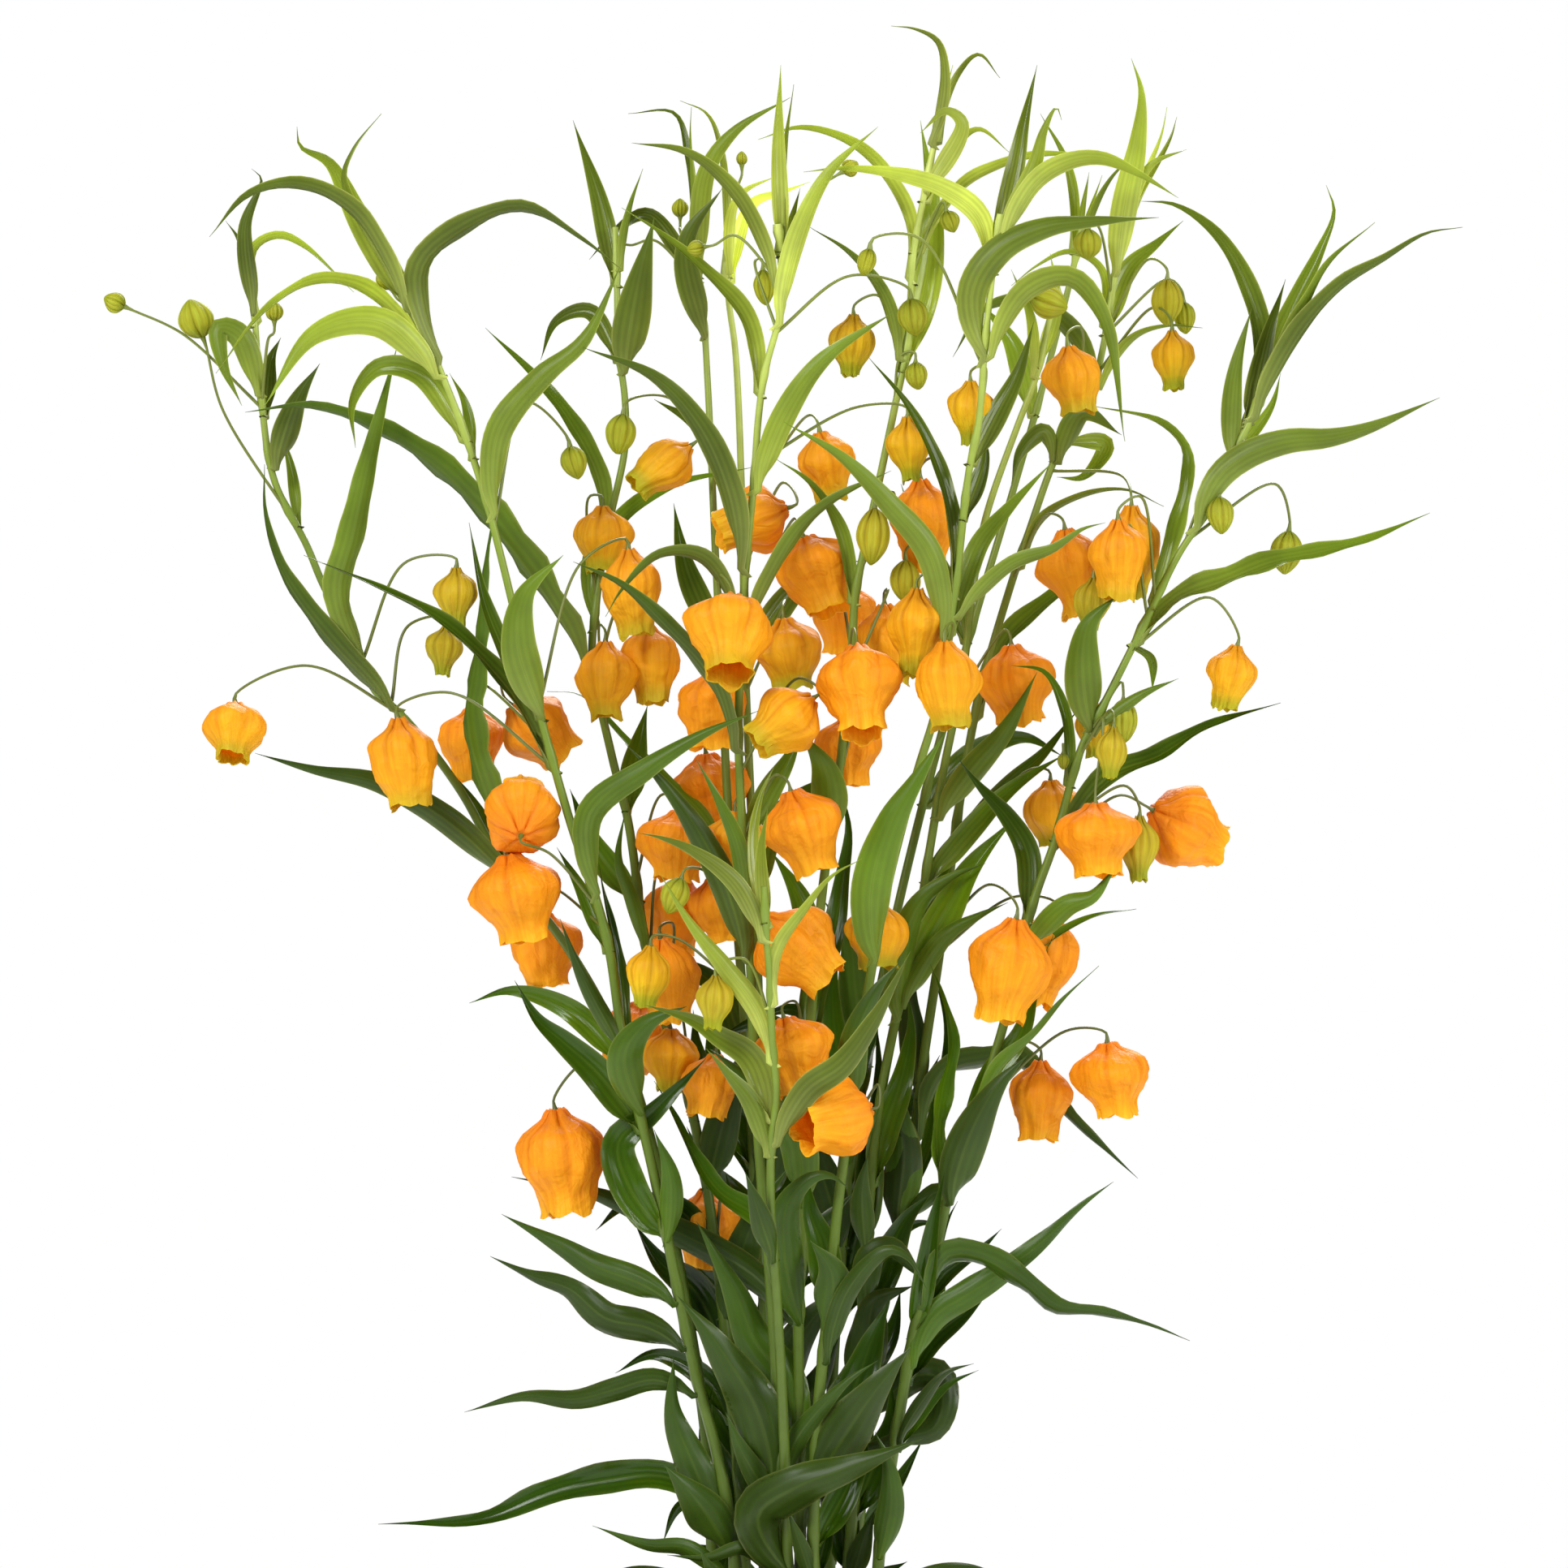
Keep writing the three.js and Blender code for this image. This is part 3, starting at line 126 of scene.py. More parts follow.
# Mottle is a slow change of brightness that nothing grown or fired is without. The materials share it.
mottle = bpy.data.node_groups.new("mottle", "ShaderNodeTree")
mottle.interface.new_socket("Color", in_out="INPUT", socket_type="NodeSocketColor")
mottle.interface.new_socket("Scale", in_out="INPUT", socket_type="NodeSocketFloat")
mottle.interface.new_socket("Amount", in_out="INPUT", socket_type="NodeSocketFloat")
mottle.interface.new_socket("Color", in_out="OUTPUT", socket_type="NodeSocketColor")
mottle_in = mottle.nodes.new("NodeGroupInput").outputs
mottle_place = add_node(mottle, "ShaderNodeTexCoord").outputs["Object"]
mottle_noise = add_node(
    mottle, "ShaderNodeTexNoise", {"Vector": mottle_place, "Scale": mottle_in["Scale"], "Detail": 4.0}
)
mottle_swing = add_math(mottle, "SUBTRACT", mottle_noise.outputs["Fac"], 0.5)
mottle_gain = add_math(mottle, "MULTIPLY_ADD", mottle_swing, mottle_in["Amount"], 1.0)
mottle_scaled = add_node(
    mottle, "ShaderNodeVectorMath", {0: mottle_in["Color"], "Scale": mottle_gain}, operation="SCALE"
)
mottle.links.new(mottle_scaled.outputs[0], mottle.nodes.new("NodeGroupOutput").inputs["Color"])


def add_mottle(tree, colour, scale, amount):
    inputs = {"Color": colour, "Scale": scale, "Amount": amount}
    return add_node(tree, "ShaderNodeGroup", inputs, node_tree=mottle).outputs["Color"]


# The fired clay is redder low down, has pale blooms of lime, and a fine grain over the lines of the wheel.
clay, tree = new_material("fired_clay")
place = add_node(tree, "ShaderNodeTexCoord").outputs["Object"]
height = add_node(tree, "ShaderNodeSeparateXYZ", {0: place}).outputs["Z"]
red = add_ramp(
    tree, add_math(tree, "MULTIPLY", height, 8.0), [(0, (0.31, 0.105, 0.045)), (1, (0.43, 0.155, 0.07))]
)
lime = add_node(tree, "ShaderNodeTexNoise", {"Vector": place, "Scale": 26.0, "Detail": 6.0, "Roughness": 0.7})
bloom = add_ramp(tree, lime.outputs["Fac"], [(0.56, (0, 0, 0)), (0.78, (0.25, 0.25, 0.25))])
pale = add_mix(tree, bloom, red, (0.60, 0.42, 0.32, 1))
grain = add_node(tree, "ShaderNodeTexNoise", {"Vector": place, "Scale": 900.0, "Detail": 3.0})
turning = add_node(
    tree, "ShaderNodeTexWave", {"Vector": place, "Scale": 160.0, "Distortion": 1.2}, bands_direction="Z"
)
relief = add_math(tree, "MULTIPLY_ADD", turning.outputs["Fac"], 0.5, grain.outputs["Fac"])
bump = add_node(tree, "ShaderNodeBump", {"Height": relief, "Strength": 0.25, "Distance": 0.0003})
surface = add_node(
    tree,
    "ShaderNodeBsdfPrincipled",
    {"Base Color": add_mottle(tree, pale, 60.0, 0.35), "Roughness": 0.9, "Normal": bump.outputs["Normal"]},
)
wear_surface(tree, surface)

profile = bpy.data.meshes.new("clay_pot")
profile.from_pydata(
    [(r * MM, 0, z * MM) for r, z in POT_PROFILE], [(i, i + 1) for i in range(len(POT_PROFILE) - 1)], []
)
pot = bpy.data.objects.new("clay_pot", profile)
bpy.context.collection.objects.link(pot)
turn = pot.modifiers.new("turn", "SCREW")
turn.steps = turn.render_steps = WHEEL_STEPS
turn.use_merge_vertices = True
turn.use_normal_calculate = True
for i in range(DRAIN_HOLES):
    angle = i * 2 * math.pi / DRAIN_HOLES
    bpy.ops.object.select_all(action="DESELECT")
    bpy.ops.mesh.primitive_cylinder_add(
        vertices=DRILL_SIDES,
        radius=DRAIN_RADIUS * MM,
        depth=DRILL_LENGTH * MM,
        location=(DRAIN_CIRCLE * MM * math.cos(angle), DRAIN_CIRCLE * MM * math.sin(angle), 0),
    )
    drill = bpy.context.object
    hole = pot.modifiers.new("drain", "BOOLEAN")
    hole.object = drill
    bpy.ops.object.select_all(action="DESELECT")
    pot.select_set(True)
    bpy.context.view_layer.objects.active = pot
    bpy.ops.object.convert(target="MESH")
    bpy.data.objects.remove(drill)
bpy.ops.object.shade_smooth_by_angle(angle=math.radians(POT_CREASE))
pot.data.materials.append(clay)
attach(pot, "root")
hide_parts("pot")

# Soil
# A dark potting mix of peat and bark, poured round the shoots and pressed down, a finger below the rim.
# Its crumbs and chips lie loose on top, and a few white grains of perlite with them.
SOIL_TOP = 108
SOIL_TOP_RADIUS = 63.7
SOIL_FOOT_RADIUS = 45.4
SOIL_FLOOR = 6.3
SOIL_SPOKES = 160
SOIL_RINGS = 56
SHOULDER_DROP = 3.2
EDGE_DROP = 1.6
HUMP_HEIGHT = 1.122
CRUMBS = 460
CRUMB_REACH = 61
CRUMB_SIZES = (0.7, 2.0)
CRUMB_STRETCH = (1, 2.2)
CRUMB_FLATNESS = 0.6
CRUMB_ROUGHNESS = 0.25
CRUMB_SIDES = 6
CRUMB_OUTLINE = [(-1, 0.25), (-0.55, 0.9), (0, 1), (0.6, 0.8), (1, 0.2)]
CRUMB_RISE = 0.15
PERLITE_SIZES = (0.7, 1.1)
PERLITE_EVERY = 15
CREASE = 50


def add_value(tree, name):
    return add_node(tree, "ShaderNodeAttribute", attribute_name=name).outputs["Fac"]


class Piece:
    """A mesh that grows by lofts, in mm, with values at its corners for the material to read"""

    def __init__(self):
        self.points = []
        self.faces = []
        self.values = {}
        self.count = 0

    def loft(self, rings, **values):
        """Closed rings of equal counts, capped at both ends"""
        rows, around = rings.shape[:2]
        self.points.append(rings.reshape(-1, 3))
        for name, value in values.items():
            given = np.broadcast_to(np.asarray(value, float), (rows, around))
            self.values.setdefault(name, []).append(given.reshape(-1))
        i = self.count + np.arange(rows - 1)[:, None] * around
        k = np.arange(around)
        after = (k + 1) % around
        quads = np.stack([i + k, i + after, i + around + after, i + around + k], axis=-1)
        self.faces.extend(quads.reshape(-1, 4).tolist())
        self.faces.append((self.count + k[::-1]).tolist())
        self.count += rows * around
        self.faces.append((self.count - around + k).tolist())

    def finish(self, name, material, nodes):
        mesh = bpy.data.meshes.new(name)
        mesh.from_pydata(np.vstack(self.points) * MM, [], self.faces)
        mesh.validate()
        for value_name, parts in self.values.items():
            layer = mesh.attributes.new(value_name, "FLOAT", "POINT")
            layer.data.foreach_set("value", np.concatenate(parts).astype(np.float32))
        mesh.materials.append(material)
        made = bpy.data.objects.new(name, mesh)
        bpy.context.collection.objects.link(made)
        bpy.ops.object.select_all(action="DESELECT")
        made.select_set(True)
        bpy.context.view_layer.objects.active = made
        bpy.ops.object.shade_smooth_by_angle(angle=math.radians(CREASE))
        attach(made, "root")
        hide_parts(*nodes)


mix, tree = new_material("potting_mix")
place = add_node(tree, "ShaderNodeTexCoord").outputs["Object"]
clods = add_node(
    tree, "ShaderNodeTexNoise", {"Vector": place, "Scale": 420.0, "Detail": 8.0, "Roughness": 0.75}
)
dark = add_ramp(
    tree,
    clods.outputs["Fac"],
    [(0.3, (0.008, 0.005, 0.003)), (0.55, (0.035, 0.021, 0.012)), (0.8, (0.12, 0.075, 0.045))],
)
grains = add_mix(tree, add_value(tree, "perlite"), dark, (0.78, 0.76, 0.70, 1))
bump = add_node(tree, "ShaderNodeBump", {"Height": clods.outputs["Fac"], "Strength": 0.9, "Distance": 0.0012})
surface = add_node(
    tree,
    "ShaderNodeBsdfPrincipled",
    {"Base Color": grains, "Roughness": 0.95, "Normal": bump.outputs["Normal"]},
)
wear_surface(tree, surface)


def soil_height(x, y):
    hump = math.sin(x * 0.21 + 1) * math.cos(y * 0.17) + 0.6 * math.sin(x * 0.09 - y * 0.13)
    return SOIL_TOP + HUMP_HEIGHT * hump


# The top lies in low humps, rough with lumps and grit, and rounds off towards the wall of the pot.
soil = Piece()
spokes = np.arange(SOIL_SPOKES) / SOIL_SPOKES * 2 * math.pi
spread = np.column_stack([np.cos(spokes), np.sin(spokes), np.zeros(SOIL_SPOKES)])
foot = spread * SOIL_FOOT_RADIUS + (0, 0, SOIL_FLOOR)
shoulder = spread * SOIL_TOP_RADIUS + (0, 0, SOIL_TOP - SHOULDER_DROP)
rings = [foot, shoulder]
ring_radii = np.linspace(SOIL_TOP_RADIUS - 0.4, 0.4, SOIL_RINGS)
for radius in ring_radii:
    drop = EDGE_DROP if radius == ring_radii[0] else 0
    ring = spread * radius
    for point in ring:
        rough = noise.noise(Vector(point) * 0.23) * 0.55 + noise.noise(Vector(point) * 0.9) * 0.3
        point[2] = soil_height(point[0], point[1]) + rough - drop
    rings.append(ring)
soil.loft(np.array(rings), perlite=0.0)

# Each crumb is a small irregular spindle that lies on the top. A few of them are perlite.
random.seed(4)
angles = np.arange(CRUMB_SIDES) / CRUMB_SIDES * 2 * math.pi
for i in range(CRUMBS):
    perlite = i % PERLITE_EVERY == 0
    reach = CRUMB_REACH * math.sqrt(random.random())
    heading = random.uniform(0, 2 * math.pi)
    x, y = reach * math.cos(heading), reach * math.sin(heading)
    size = random.uniform(*(PERLITE_SIZES if perlite else CRUMB_SIZES))
    length = size * random.uniform(*CRUMB_STRETCH)
    turned = random.uniform(0, math.pi)
    rows = []
    for t, r in CRUMB_OUTLINE:
        wide, high = r * size * np.cos(angles), CRUMB_FLATNESS * r * size * np.sin(angles)
        ring = np.column_stack([np.full(CRUMB_SIDES, t * length), wide, high])
        ring *= 1 + CRUMB_ROUGHNESS * np.array([[random.uniform(-1, 1)] for _ in range(CRUMB_SIDES)])
        rows.append(ring)
    c, s = math.cos(turned), math.sin(turned)
    crumb = np.array(rows) @ np.array([[c, s, 0], [-s, c, 0], [0, 0, 1]])
    soil.loft(crumb + (x, y, soil_height(x, y) + CRUMB_RISE), perlite=1.0 if perlite else 0.0)
soil.finish("potting_soil", mix, ["soil"])

# Stems
# Each is a firm, juicy stalk of about 4 mm that grew straight up from its tuber. It is round with
# faint ridges, dark green below and lime green at the tip, and thickens a little below each leaf.

# The thirteen shoots, in mm, as an eye level with the middle of the plant sees them in the plane y = 0.
# route: x and z of the stem from the foot up.
# depth: y of the stem at its foot and at its tip.
# leaves: apparent width, depth of the tip from the stem, height of the base, then x and z of the midrib.
# flowers: height of the stalk's base, x and z of its arch, x and z of the neck, width, length,
# tilt of the mouth to the right, nod of it to the front, and ripeness from 0 to 1.
SHOOTS = {
    "far_left": {
        "depth": [4, 20],
        "route": [
            -22, 140, -24, 180, -30, 220, -38, 260, -50, 300, -66, 330, -88, 359, -100, 380, -116, 401,
            -127, 412, -133, 426, -142, 443, -147, 455, -157, 475, -161, 500, -163.5, 531, -165, 543,
        ],
        "leaves": [
            [6, -6, 531, -166, 553, -161, 568, -164, 571],
            [4, 10, 528, -163, 546, -156, 550, -148, 547, -132.5, 533],
            [8, -10, 506, -168, 520, -174, 522, -173, 511, -167, 498],
            [7, 10, 500, -158, 512, -155, 519],
            [9, -12, 484, -150, 500, -143, 511],
            [7, -10, 409, -143, 430, -155, 448, -160, 465, -160, 480],
            [4, 12, 466, -152, 480, -156, 492],
            [3, -6, 539, -168, 549, -172, 555],
            [9, -22, 422, -137, 440, -133, 458, -127, 485, -119, 517],
            [8, -14, 357, -97, 400, -95, 418, -92, 450, -88, 472],
            [9, -16, 355, -105, 371, -125, 382, -145, 386, -163, 391],
            [3, 10, 361, -95, 375, -105.5, 388],
            [8, 14, 300, -66, 312, -84, 318, -97, 314],
            [9, 4, 124, -30, 132, -44, 138, -62, 136],
            [8, 24, 132, -18, 142, -14, 156],
        ],
        "flowers": [
            [409, -147, 418, -169, 406.5, 19, 19, 0, 25, 0.8],
            [360, -87, 364.5, -85, 360, 28, 27, 12, 0, 1],
            [425, -117, 449.5, -101, 448, 13.5, 18, 0, 0, 0.4],
            [412, -116, 430, -104, 430, 12, 15, -5, 0, 0.35],
            [503, -185, 520, -203, 528.5, 6, 7, -114, 0, 0.1],
            [466, -173, 497, -179, 519, 10.5, 12.5, -160, 0, 0.2],
            [505, -159, 518, -157, 524, 5, 6, 180, 0, 0.1],
        ],
    },
    "left": {
        "depth": [-10, -34],
        "route": [
            -15, 140, -20, 172, -28, 203, -34, 232, -40.5, 263, -49.4, 301, -54.8, 335, -66.5, 372,
            -77, 410, -91.5, 468, -100, 494, -109, 516, -119, 536, -124, 545,
        ],
        "leaves": [
            [9, 12, 532, -131, 556, -140, 573, -149, 578, -150, 584],
            [4, -12, 538, -136, 567, -133, 577, -124, 588],
            [5, -18, 532, -133, 558, -150, 566, -165, 563, -177, 550],
            [5, 16, 520, -130, 534, -145, 536, -160, 527, -175, 508],
            [10, -20, 512, -125, 524, -145, 520, -160, 498],
            [7, -10, 515, -112, 540, -100, 552, -81, 559, -62, 549, -50, 540],
            [8, 20, 492, -112, 508, -125, 510, -133, 499, -132, 485],
            [4, 10, 487, -98, 498, -103, 508],
            [9, -16, 468, -88, 490, -75, 507, -62, 518, -50, 542],
            [6, 14, 406, -86, 422, -93, 440, -97, 462],
            [12, -20, 407, -82, 425, -80, 440, -68, 452],
            [5.5, 18, 390, -85, 411, -105, 431, -125, 442, -148, 452],
            [9, -22, 351, -60, 372, -43, 386, -25, 397, -8, 404],
            [6, 10, 335, -62, 348, -70, 362],
            [6, -8, 303, -62, 322, -69, 340],
            [5, 12, 303, -52, 330, -56, 350, -57, 357],
            [12, -20, 285, -49, 298, -42, 308, -30, 313],
            [11, 8, 279, -57, 292, -68, 302, -76, 309, -83, 321],
            [12, 10, 246, -48, 258, -51, 271, -40, 281, -24, 297],
            [8, -8, 246, -35, 260, -40, 275],
            [10, -14, 227, -45, 228, -58, 233, -68, 239, -87, 249],
            [11, -10, 213, -42, 214, -55, 217, -66, 226, -78, 230, -90.5, 236],
            [8, -8, 199, -40, 198, -52, 195, -64, 192, -80, 193, -98.5, 188],
            [10, 8, 163, -36, 168, -55, 167, -75, 162, -92, 155, -125, 153.5],
            [15, -14, 150, -27, 161, -37, 172],
            [4, 16, 168, -32, 159, -37.5, 147.5],
            [13, -6, 151, -28, 172, -34, 188, -34, 205],
            [6, -12, 141, -30, 146, -42, 147, -59, 153],
            [10, -34, 122, -20, 134, -26, 146],
        ],
        "flowers": [
            [392, -102, 409.5, -119, 402, 20, 27, 8, 0, 0.85],
            [396, -86, 414, -84, 406, 22, 23, 45, -10, 0.95],
            [400, -92, 412, -96, 405, 20, 22, 0, 0, 0.95],
            [350, -72, 360, -81, 365.5, 24, 23, 180, -55, 1],
            [343, -70, 349, -74, 342, 21, 22.5, 3, 0, 1],
            [285, -60, 296, -70.5, 281.5, 26, 32, 8, 0, 1],
            [411, -63, 449, -48, 454, 18.5, 26.5, 6, 0, 0.8],
            [466, -80, 499, -66, 485.5, 8, 10.5, 15, 0, 0.2],
            [520, -117, 529, -121, 534, 6, 7, -150, 0, 0.1],
        ],
    },
    "left_back": {
        "depth": [8, 30],
        "route": [
            -12, 140, -15, 180, -20, 230, -26, 270, -33, 298, -39, 315, -43, 334, -48, 370, -53, 390,
            -59, 420, -58, 436, -54, 461, -49, 485, -49, 500, -51, 516, -51.5, 540, -52, 553,
        ],
        "leaves": [
            [7, 8, 540, -57, 562, -65, 586],
            [3, -6, 545, -47, 560, -43.5, 571],
            [12, -14, 513, -45, 535, -40, 556],
            [6, 14, 517, -60, 527, -70, 524, -75, 512],
            [6, 30, 459, -57, 475, -64, 490, -74, 504, -92, 522],
            [7, 12, 434, -58, 450, -48, 465, -35, 473, -10, 479],
            [9, -14, 419, -72, 438, -90, 462, -105, 478, -125, 491, -145, 498, -166, 496],
            [9, 16, 378, -45, 392, -42, 406],
            [5, -10, 333, -47, 346, -51, 358, -49, 373],
            [7, 12, 283, -30, 298, -36, 308],
            [9, 22, 350, -58, 362, -66, 380],
            [9, 20, 240, -32, 250, -48, 252, -58, 244],
            [8, 22, 190, -26, 200, -40, 206, -52, 200],
            [13, 8, 148, -18, 166, -24, 182, -22, 196],
            [13, -8, 168, -6, 184, 2, 198, 4, 212],
            [13, 10, 212, -28, 226, -38, 234, -46, 246],
            [12, -8, 222, -12, 240, -6, 254, 2, 264],
            [12, -6, 262, -18, 280, -14, 294, -8, 304],
            [10, 30, 126, -18, 138, -30, 146],
        ],
        "flowers": [
            [402, -57, 430, -55, 425.5, 18.5, 23.5, 0, 5, 0.8],
            [420, -50, 437, -42, 430.5, 18, 24, 3, 8, 0.8],
            [358, -38, 378, -32, 373.5, 23, 21, -4, 0, 1],
            [333, -38, 357, -31, 352.5, 22, 23, -10, 5, 1],
            [316, -34, 338, -38, 334, 20, 25, 8, 0, 1],
            [298, -40, 318, -44, 314, 21, 21, -14, 0, 1],
            [243, -20, 262, -24, 257, 20, 25, 0, 0, 1],
            [443, -60, 470, -56, 467, 17, 20, 0, 0, 0.7],
            [286, -32, 311, -35, 306, 18, 19, 0, 0, 0.7],
        ],
    },
    "centre_left": {
        "depth": [13, 46],
        "route": [
            -4, 140, -5, 200, -9, 260, -13, 320, -17, 370, -19, 410, -21, 450, -23.5, 505, -25, 527,
            -28, 546,
        ],
        "leaves": [
            [6, 8, 541, -42, 557, -52, 552, -60, 543],
            [9, -12, 524, -30, 548, -19, 565],
            [2.5, 6, 543, -30, 575, -34, 588, -48, 588],
            [2.5, -6, 544, -29, 580, -28.5, 590],
            [7, -14, 543, -24, 570, -15, 583, 2, 593],
            [4, 12, 365, -28, 374, -40, 385, -50, 396, -63, 409, -73, 410],
            [9, 22, 430, -30, 448, -34, 468],
            [9, 24, 300, -20, 318, -34, 326, -44, 320],
            [8, 24, 230, -14, 246, -18, 262],
            [14, -6, 146, 4, 164, 10, 180, 10, 194],
            [14, 6, 160, -14, 176, -22, 190, -26, 206],
            [13, -6, 192, 4, 210, 14, 222, 24, 228],
            [13, 6, 206, -16, 222, -26, 232, -32, 246],
            [13, -6, 254, -2, 272, 6, 288, 10, 300],
            [12, 6, 268, -18, 284, -26, 298, -28, 312],
            [9, 36, 120, 2, 132, 6, 146],
            [10, 8, 262, -14, 276, -20, 290, -22, 306, -19, 318],
        ],
        "flowers": [
            [398, -24, 421, -22, 416.5, 21, 23.5, 0, 0, 1],
            [378, -20, 395, -24, 391, 24, 25, 8, 0, 1],
            [336, -18, 357, -22, 353, 18, 20, 10, 0, 1],
            [284, -17, 303, -21, 298.5, 18, 19, -8, 0, 1],
            [468, -22, 492, -29, 485.5, 16, 21.5, -52, 10, 0.7],
            [350, -13, 378, -15, 373, 20, 20, 0, 0, 0.7],
            [498, -37, 501, -49.5, 495.5, 9, 12.5, -8, 0, 0.2],
            [541, -40, 549, -50, 548, 5, 6, -100, 0, 0.1],
            [542, -32, 552, -32, 556, 5, 6, 180, 0, 0.1],
        ],
    },
    "back_left": {
        "depth": [25, 62],
        "route": [
            -6, 140, -6, 200, -7, 260, -8, 320, -10, 370, -12, 420, -13, 470, -15, 515, -17, 530,
            -18, 546,
        ],
        "leaves": [
            [5, 8, 541, -10, 560, 0, 564, 8, 567],
            [4, -10, 544, -14, 562, -2, 569],
            [2.5, 6, 543, -20, 578, -24, 588, -32, 592],
            [9, 24, 470, -25, 490, -40, 500],
            [9, 20, 425, 2, 440, 14, 450, 24, 450],
            [9, 26, 350, -4, 368, 8, 380, 20, 384],
            [8, 26, 290, -16, 306, -30, 310],
            [9, 24, 200, -4, 216, 6, 228, 16, 230],
            [13, 10, 150, -10, 168, -20, 184, -27, 200],
            [14, -8, 166, 2, 184, 12, 200, 18, 214],
            [13, 8, 184, -12, 202, -20, 216, -24, 232],
            [13, -8, 214, 2, 232, 12, 246, 22, 256],
            [12, 10, 236, -14, 252, -24, 264, -30, 276],
            [12, -6, 262, 0, 280, 8, 296, 12, 310],
            [10, 26, 130, -16, 142, -30, 148],
            [9, 34, 120, -2, 132, 4, 142],
            [10, 8, 236, -4, 250, 1, 266, 2, 282],
        ],
        "flowers": [
            [453, -1, 474, 1, 466.5, 21, 22.5, -70, 8, 0.9],
            [438, 2, 462, 6, 457.5, 24, 24, 22, 10, 0.95],
            [472, 6, 494, 11, 490, 19, 21, 12, 0, 0.8],
            [416, 0, 437, 0, 432.5, 22, 22, 8, 0, 0.7],
            [543, -14, 566, -13, 572, 3.5, 4.5, 180, 0, 0.1],
        ],
    },
    "centre": {
        "depth": [-10, -34],
        "route": [
            -1, 140, -2, 190, -4.4, 230, -7, 260, -9, 290, -10.5, 330, -13, 370, -14, 400, -12, 445,
            -9, 478, -8, 493, -6, 508, -0.5, 530, -1, 545, -2, 554,
        ],
        "leaves": [
            [5.5, 0, 549, -2, 575, -1, 603],
            [3, 6, 551, 1, 580, 3, 597],
            [5, -10, 539, -15, 563, -30, 576, -47, 579],
            [6, 12, 506, -12, 525, -25, 540, -38, 551, -50, 559],
            [6.5, -10, 527, 5, 552, 14, 570, 29, 584],
            [3, 8, 549, 5, 565],
            [8, -16, 451, -17, 472, -26, 492, -40, 507, -62, 516],
            [8, -14, 476, 0, 495, 12, 512, 34, 527],
            [5, -10, 435, 5, 460, 15, 469, 33, 478],
            [5, -12, 438, -25, 451, -38, 452, -50, 441, -55, 433],
            [6, -18, 396, -22, 414, -35, 429, -50, 443, -65, 450],
            [8, 10, 370, -4, 380, 2, 390, 6, 402],
            [10, -16, 331, -18, 350, -27, 368, -38, 383, -49, 394],
            [6, -20, 346, -14, 362, -20, 376, -27, 389],
            [7, -16, 166, 3, 178, 12, 190, 20, 198, 29, 204],
            [8, -8, 163, -13, 176, -18, 188],
            [17, -16, 170, -9, 190, -18, 205, -25, 215, -33, 224],
            [5, -16, 142, -12, 146, -24, 143, -36, 144],
            [10, -36, 120, 4, 131, 10, 139],
        ],
        "flowers": [
            [416, -20, 446, -16.5, 439.5, 26, 27, 0, 30, 0.86],
            [391, 4, 414, 9, 408, 21, 22.5, -52, 12, 0.8],
            [371, -3, 384, 2, 379.5, 25, 26, 18, 0, 1],
            [333, -9, 347, -6, 340.5, 25, 27, 45, 0, 1],
            [486, 22, 497.5, 38, 494.5, 13.5, 19.5, 4, 0, 0.5],
            [320, -32, 333.5, -41, 331.5, 13.5, 18.5, -6, 0, 0.5],
            [343, -24, 354.5, -31.5, 352.5, 8.5, 11.5, -22, 0, 0.25],
            [526, 20, 538, 39, 531, 9, 11.5, 8, 0, 0.25],
            [541, -15, 550.5, -24.5, 547, 5, 5.5, -80, 0, 0.1],
            [528, -9, 542, -6.5, 540, 7, 11, 5, 0, 0.15],
            [546, 12, 566, 18, 570, 5, 5.5, 120, 0, 0.1],
        ],
    },
    "front": {
        "depth": [-15.5, -64],
        "route": [
            1, 140, 0, 180, -2, 220, -4, 250, -4, 268, -2.3, 285, -3.6, 302, -4.4, 321, -5.7, 339, -6, 350,
        ],
        "leaves": [
            [6, -8, 338, -15, 351, -28, 361, -38, 365, -45, 366.5],
            [5, 0, 342, -7, 360, -5, 374],
            [4, 6, 344, -9, 365, -7, 378, -3, 387],
            [4.5, -8, 318, -1.5, 330, 7, 343, 15, 353, 24, 358.5],
            [7, -8, 300, -8, 311, -18, 325, -29, 339, -38, 353.5],
            [9, -6, 275, 7, 287, 18, 295, 28, 309, 35, 322, 39, 330],
            [9, 8, 282, -10, 297, -20, 304, -28, 309, -43, 313.5],
            [7, -6, 272, -10, 283, -18, 293, -24, 300],
            [16, -22, 142, -8, 156, 4, 165, 20, 171, 43, 180],
            [8, -12, 240, -8, 250, -12, 262],
            [10, -30, 124, -8, 134, -16, 138],
        ],
        "flowers": [[314, -12, 327.5, -21, 322.5, 11.5, 16, -4, 0, 0.35]],
    },
    "centre_right": {
        "depth": [-8, -12],
        "route": [
            5, 140, 5, 170, 4.5, 200, 4.5, 222, 6, 245, 5.5, 265, 7, 290, 9.5, 325, 12, 350, 17, 385,
            21, 425, 22, 440, 25, 455, 30, 478, 34, 497, 38, 517, 40, 545, 45, 572, 48, 588,
        ],
        "leaves": [
            [10, 10, 514, 44, 537, 45.5, 560, 42, 586],
            [4.5, -12, 517, 30, 533, 20, 545, 8, 553],
            [4.5, 14, 541, 38, 555, 30, 570, 20, 579, 5, 583.5, -8, 580],
            [4, -6, 583, 49, 600, 47, 610, 40, 614, 33, 615],
            [2.2, 6, 584, 54, 600, 60, 606, 66.5, 599],
            [2.2, 0, 585, 52, 603],
            [6, -8, 569, 55, 585, 50, 589, 42, 582],
            [4, 8, 566, 53, 578, 60, 583, 69.5, 576],
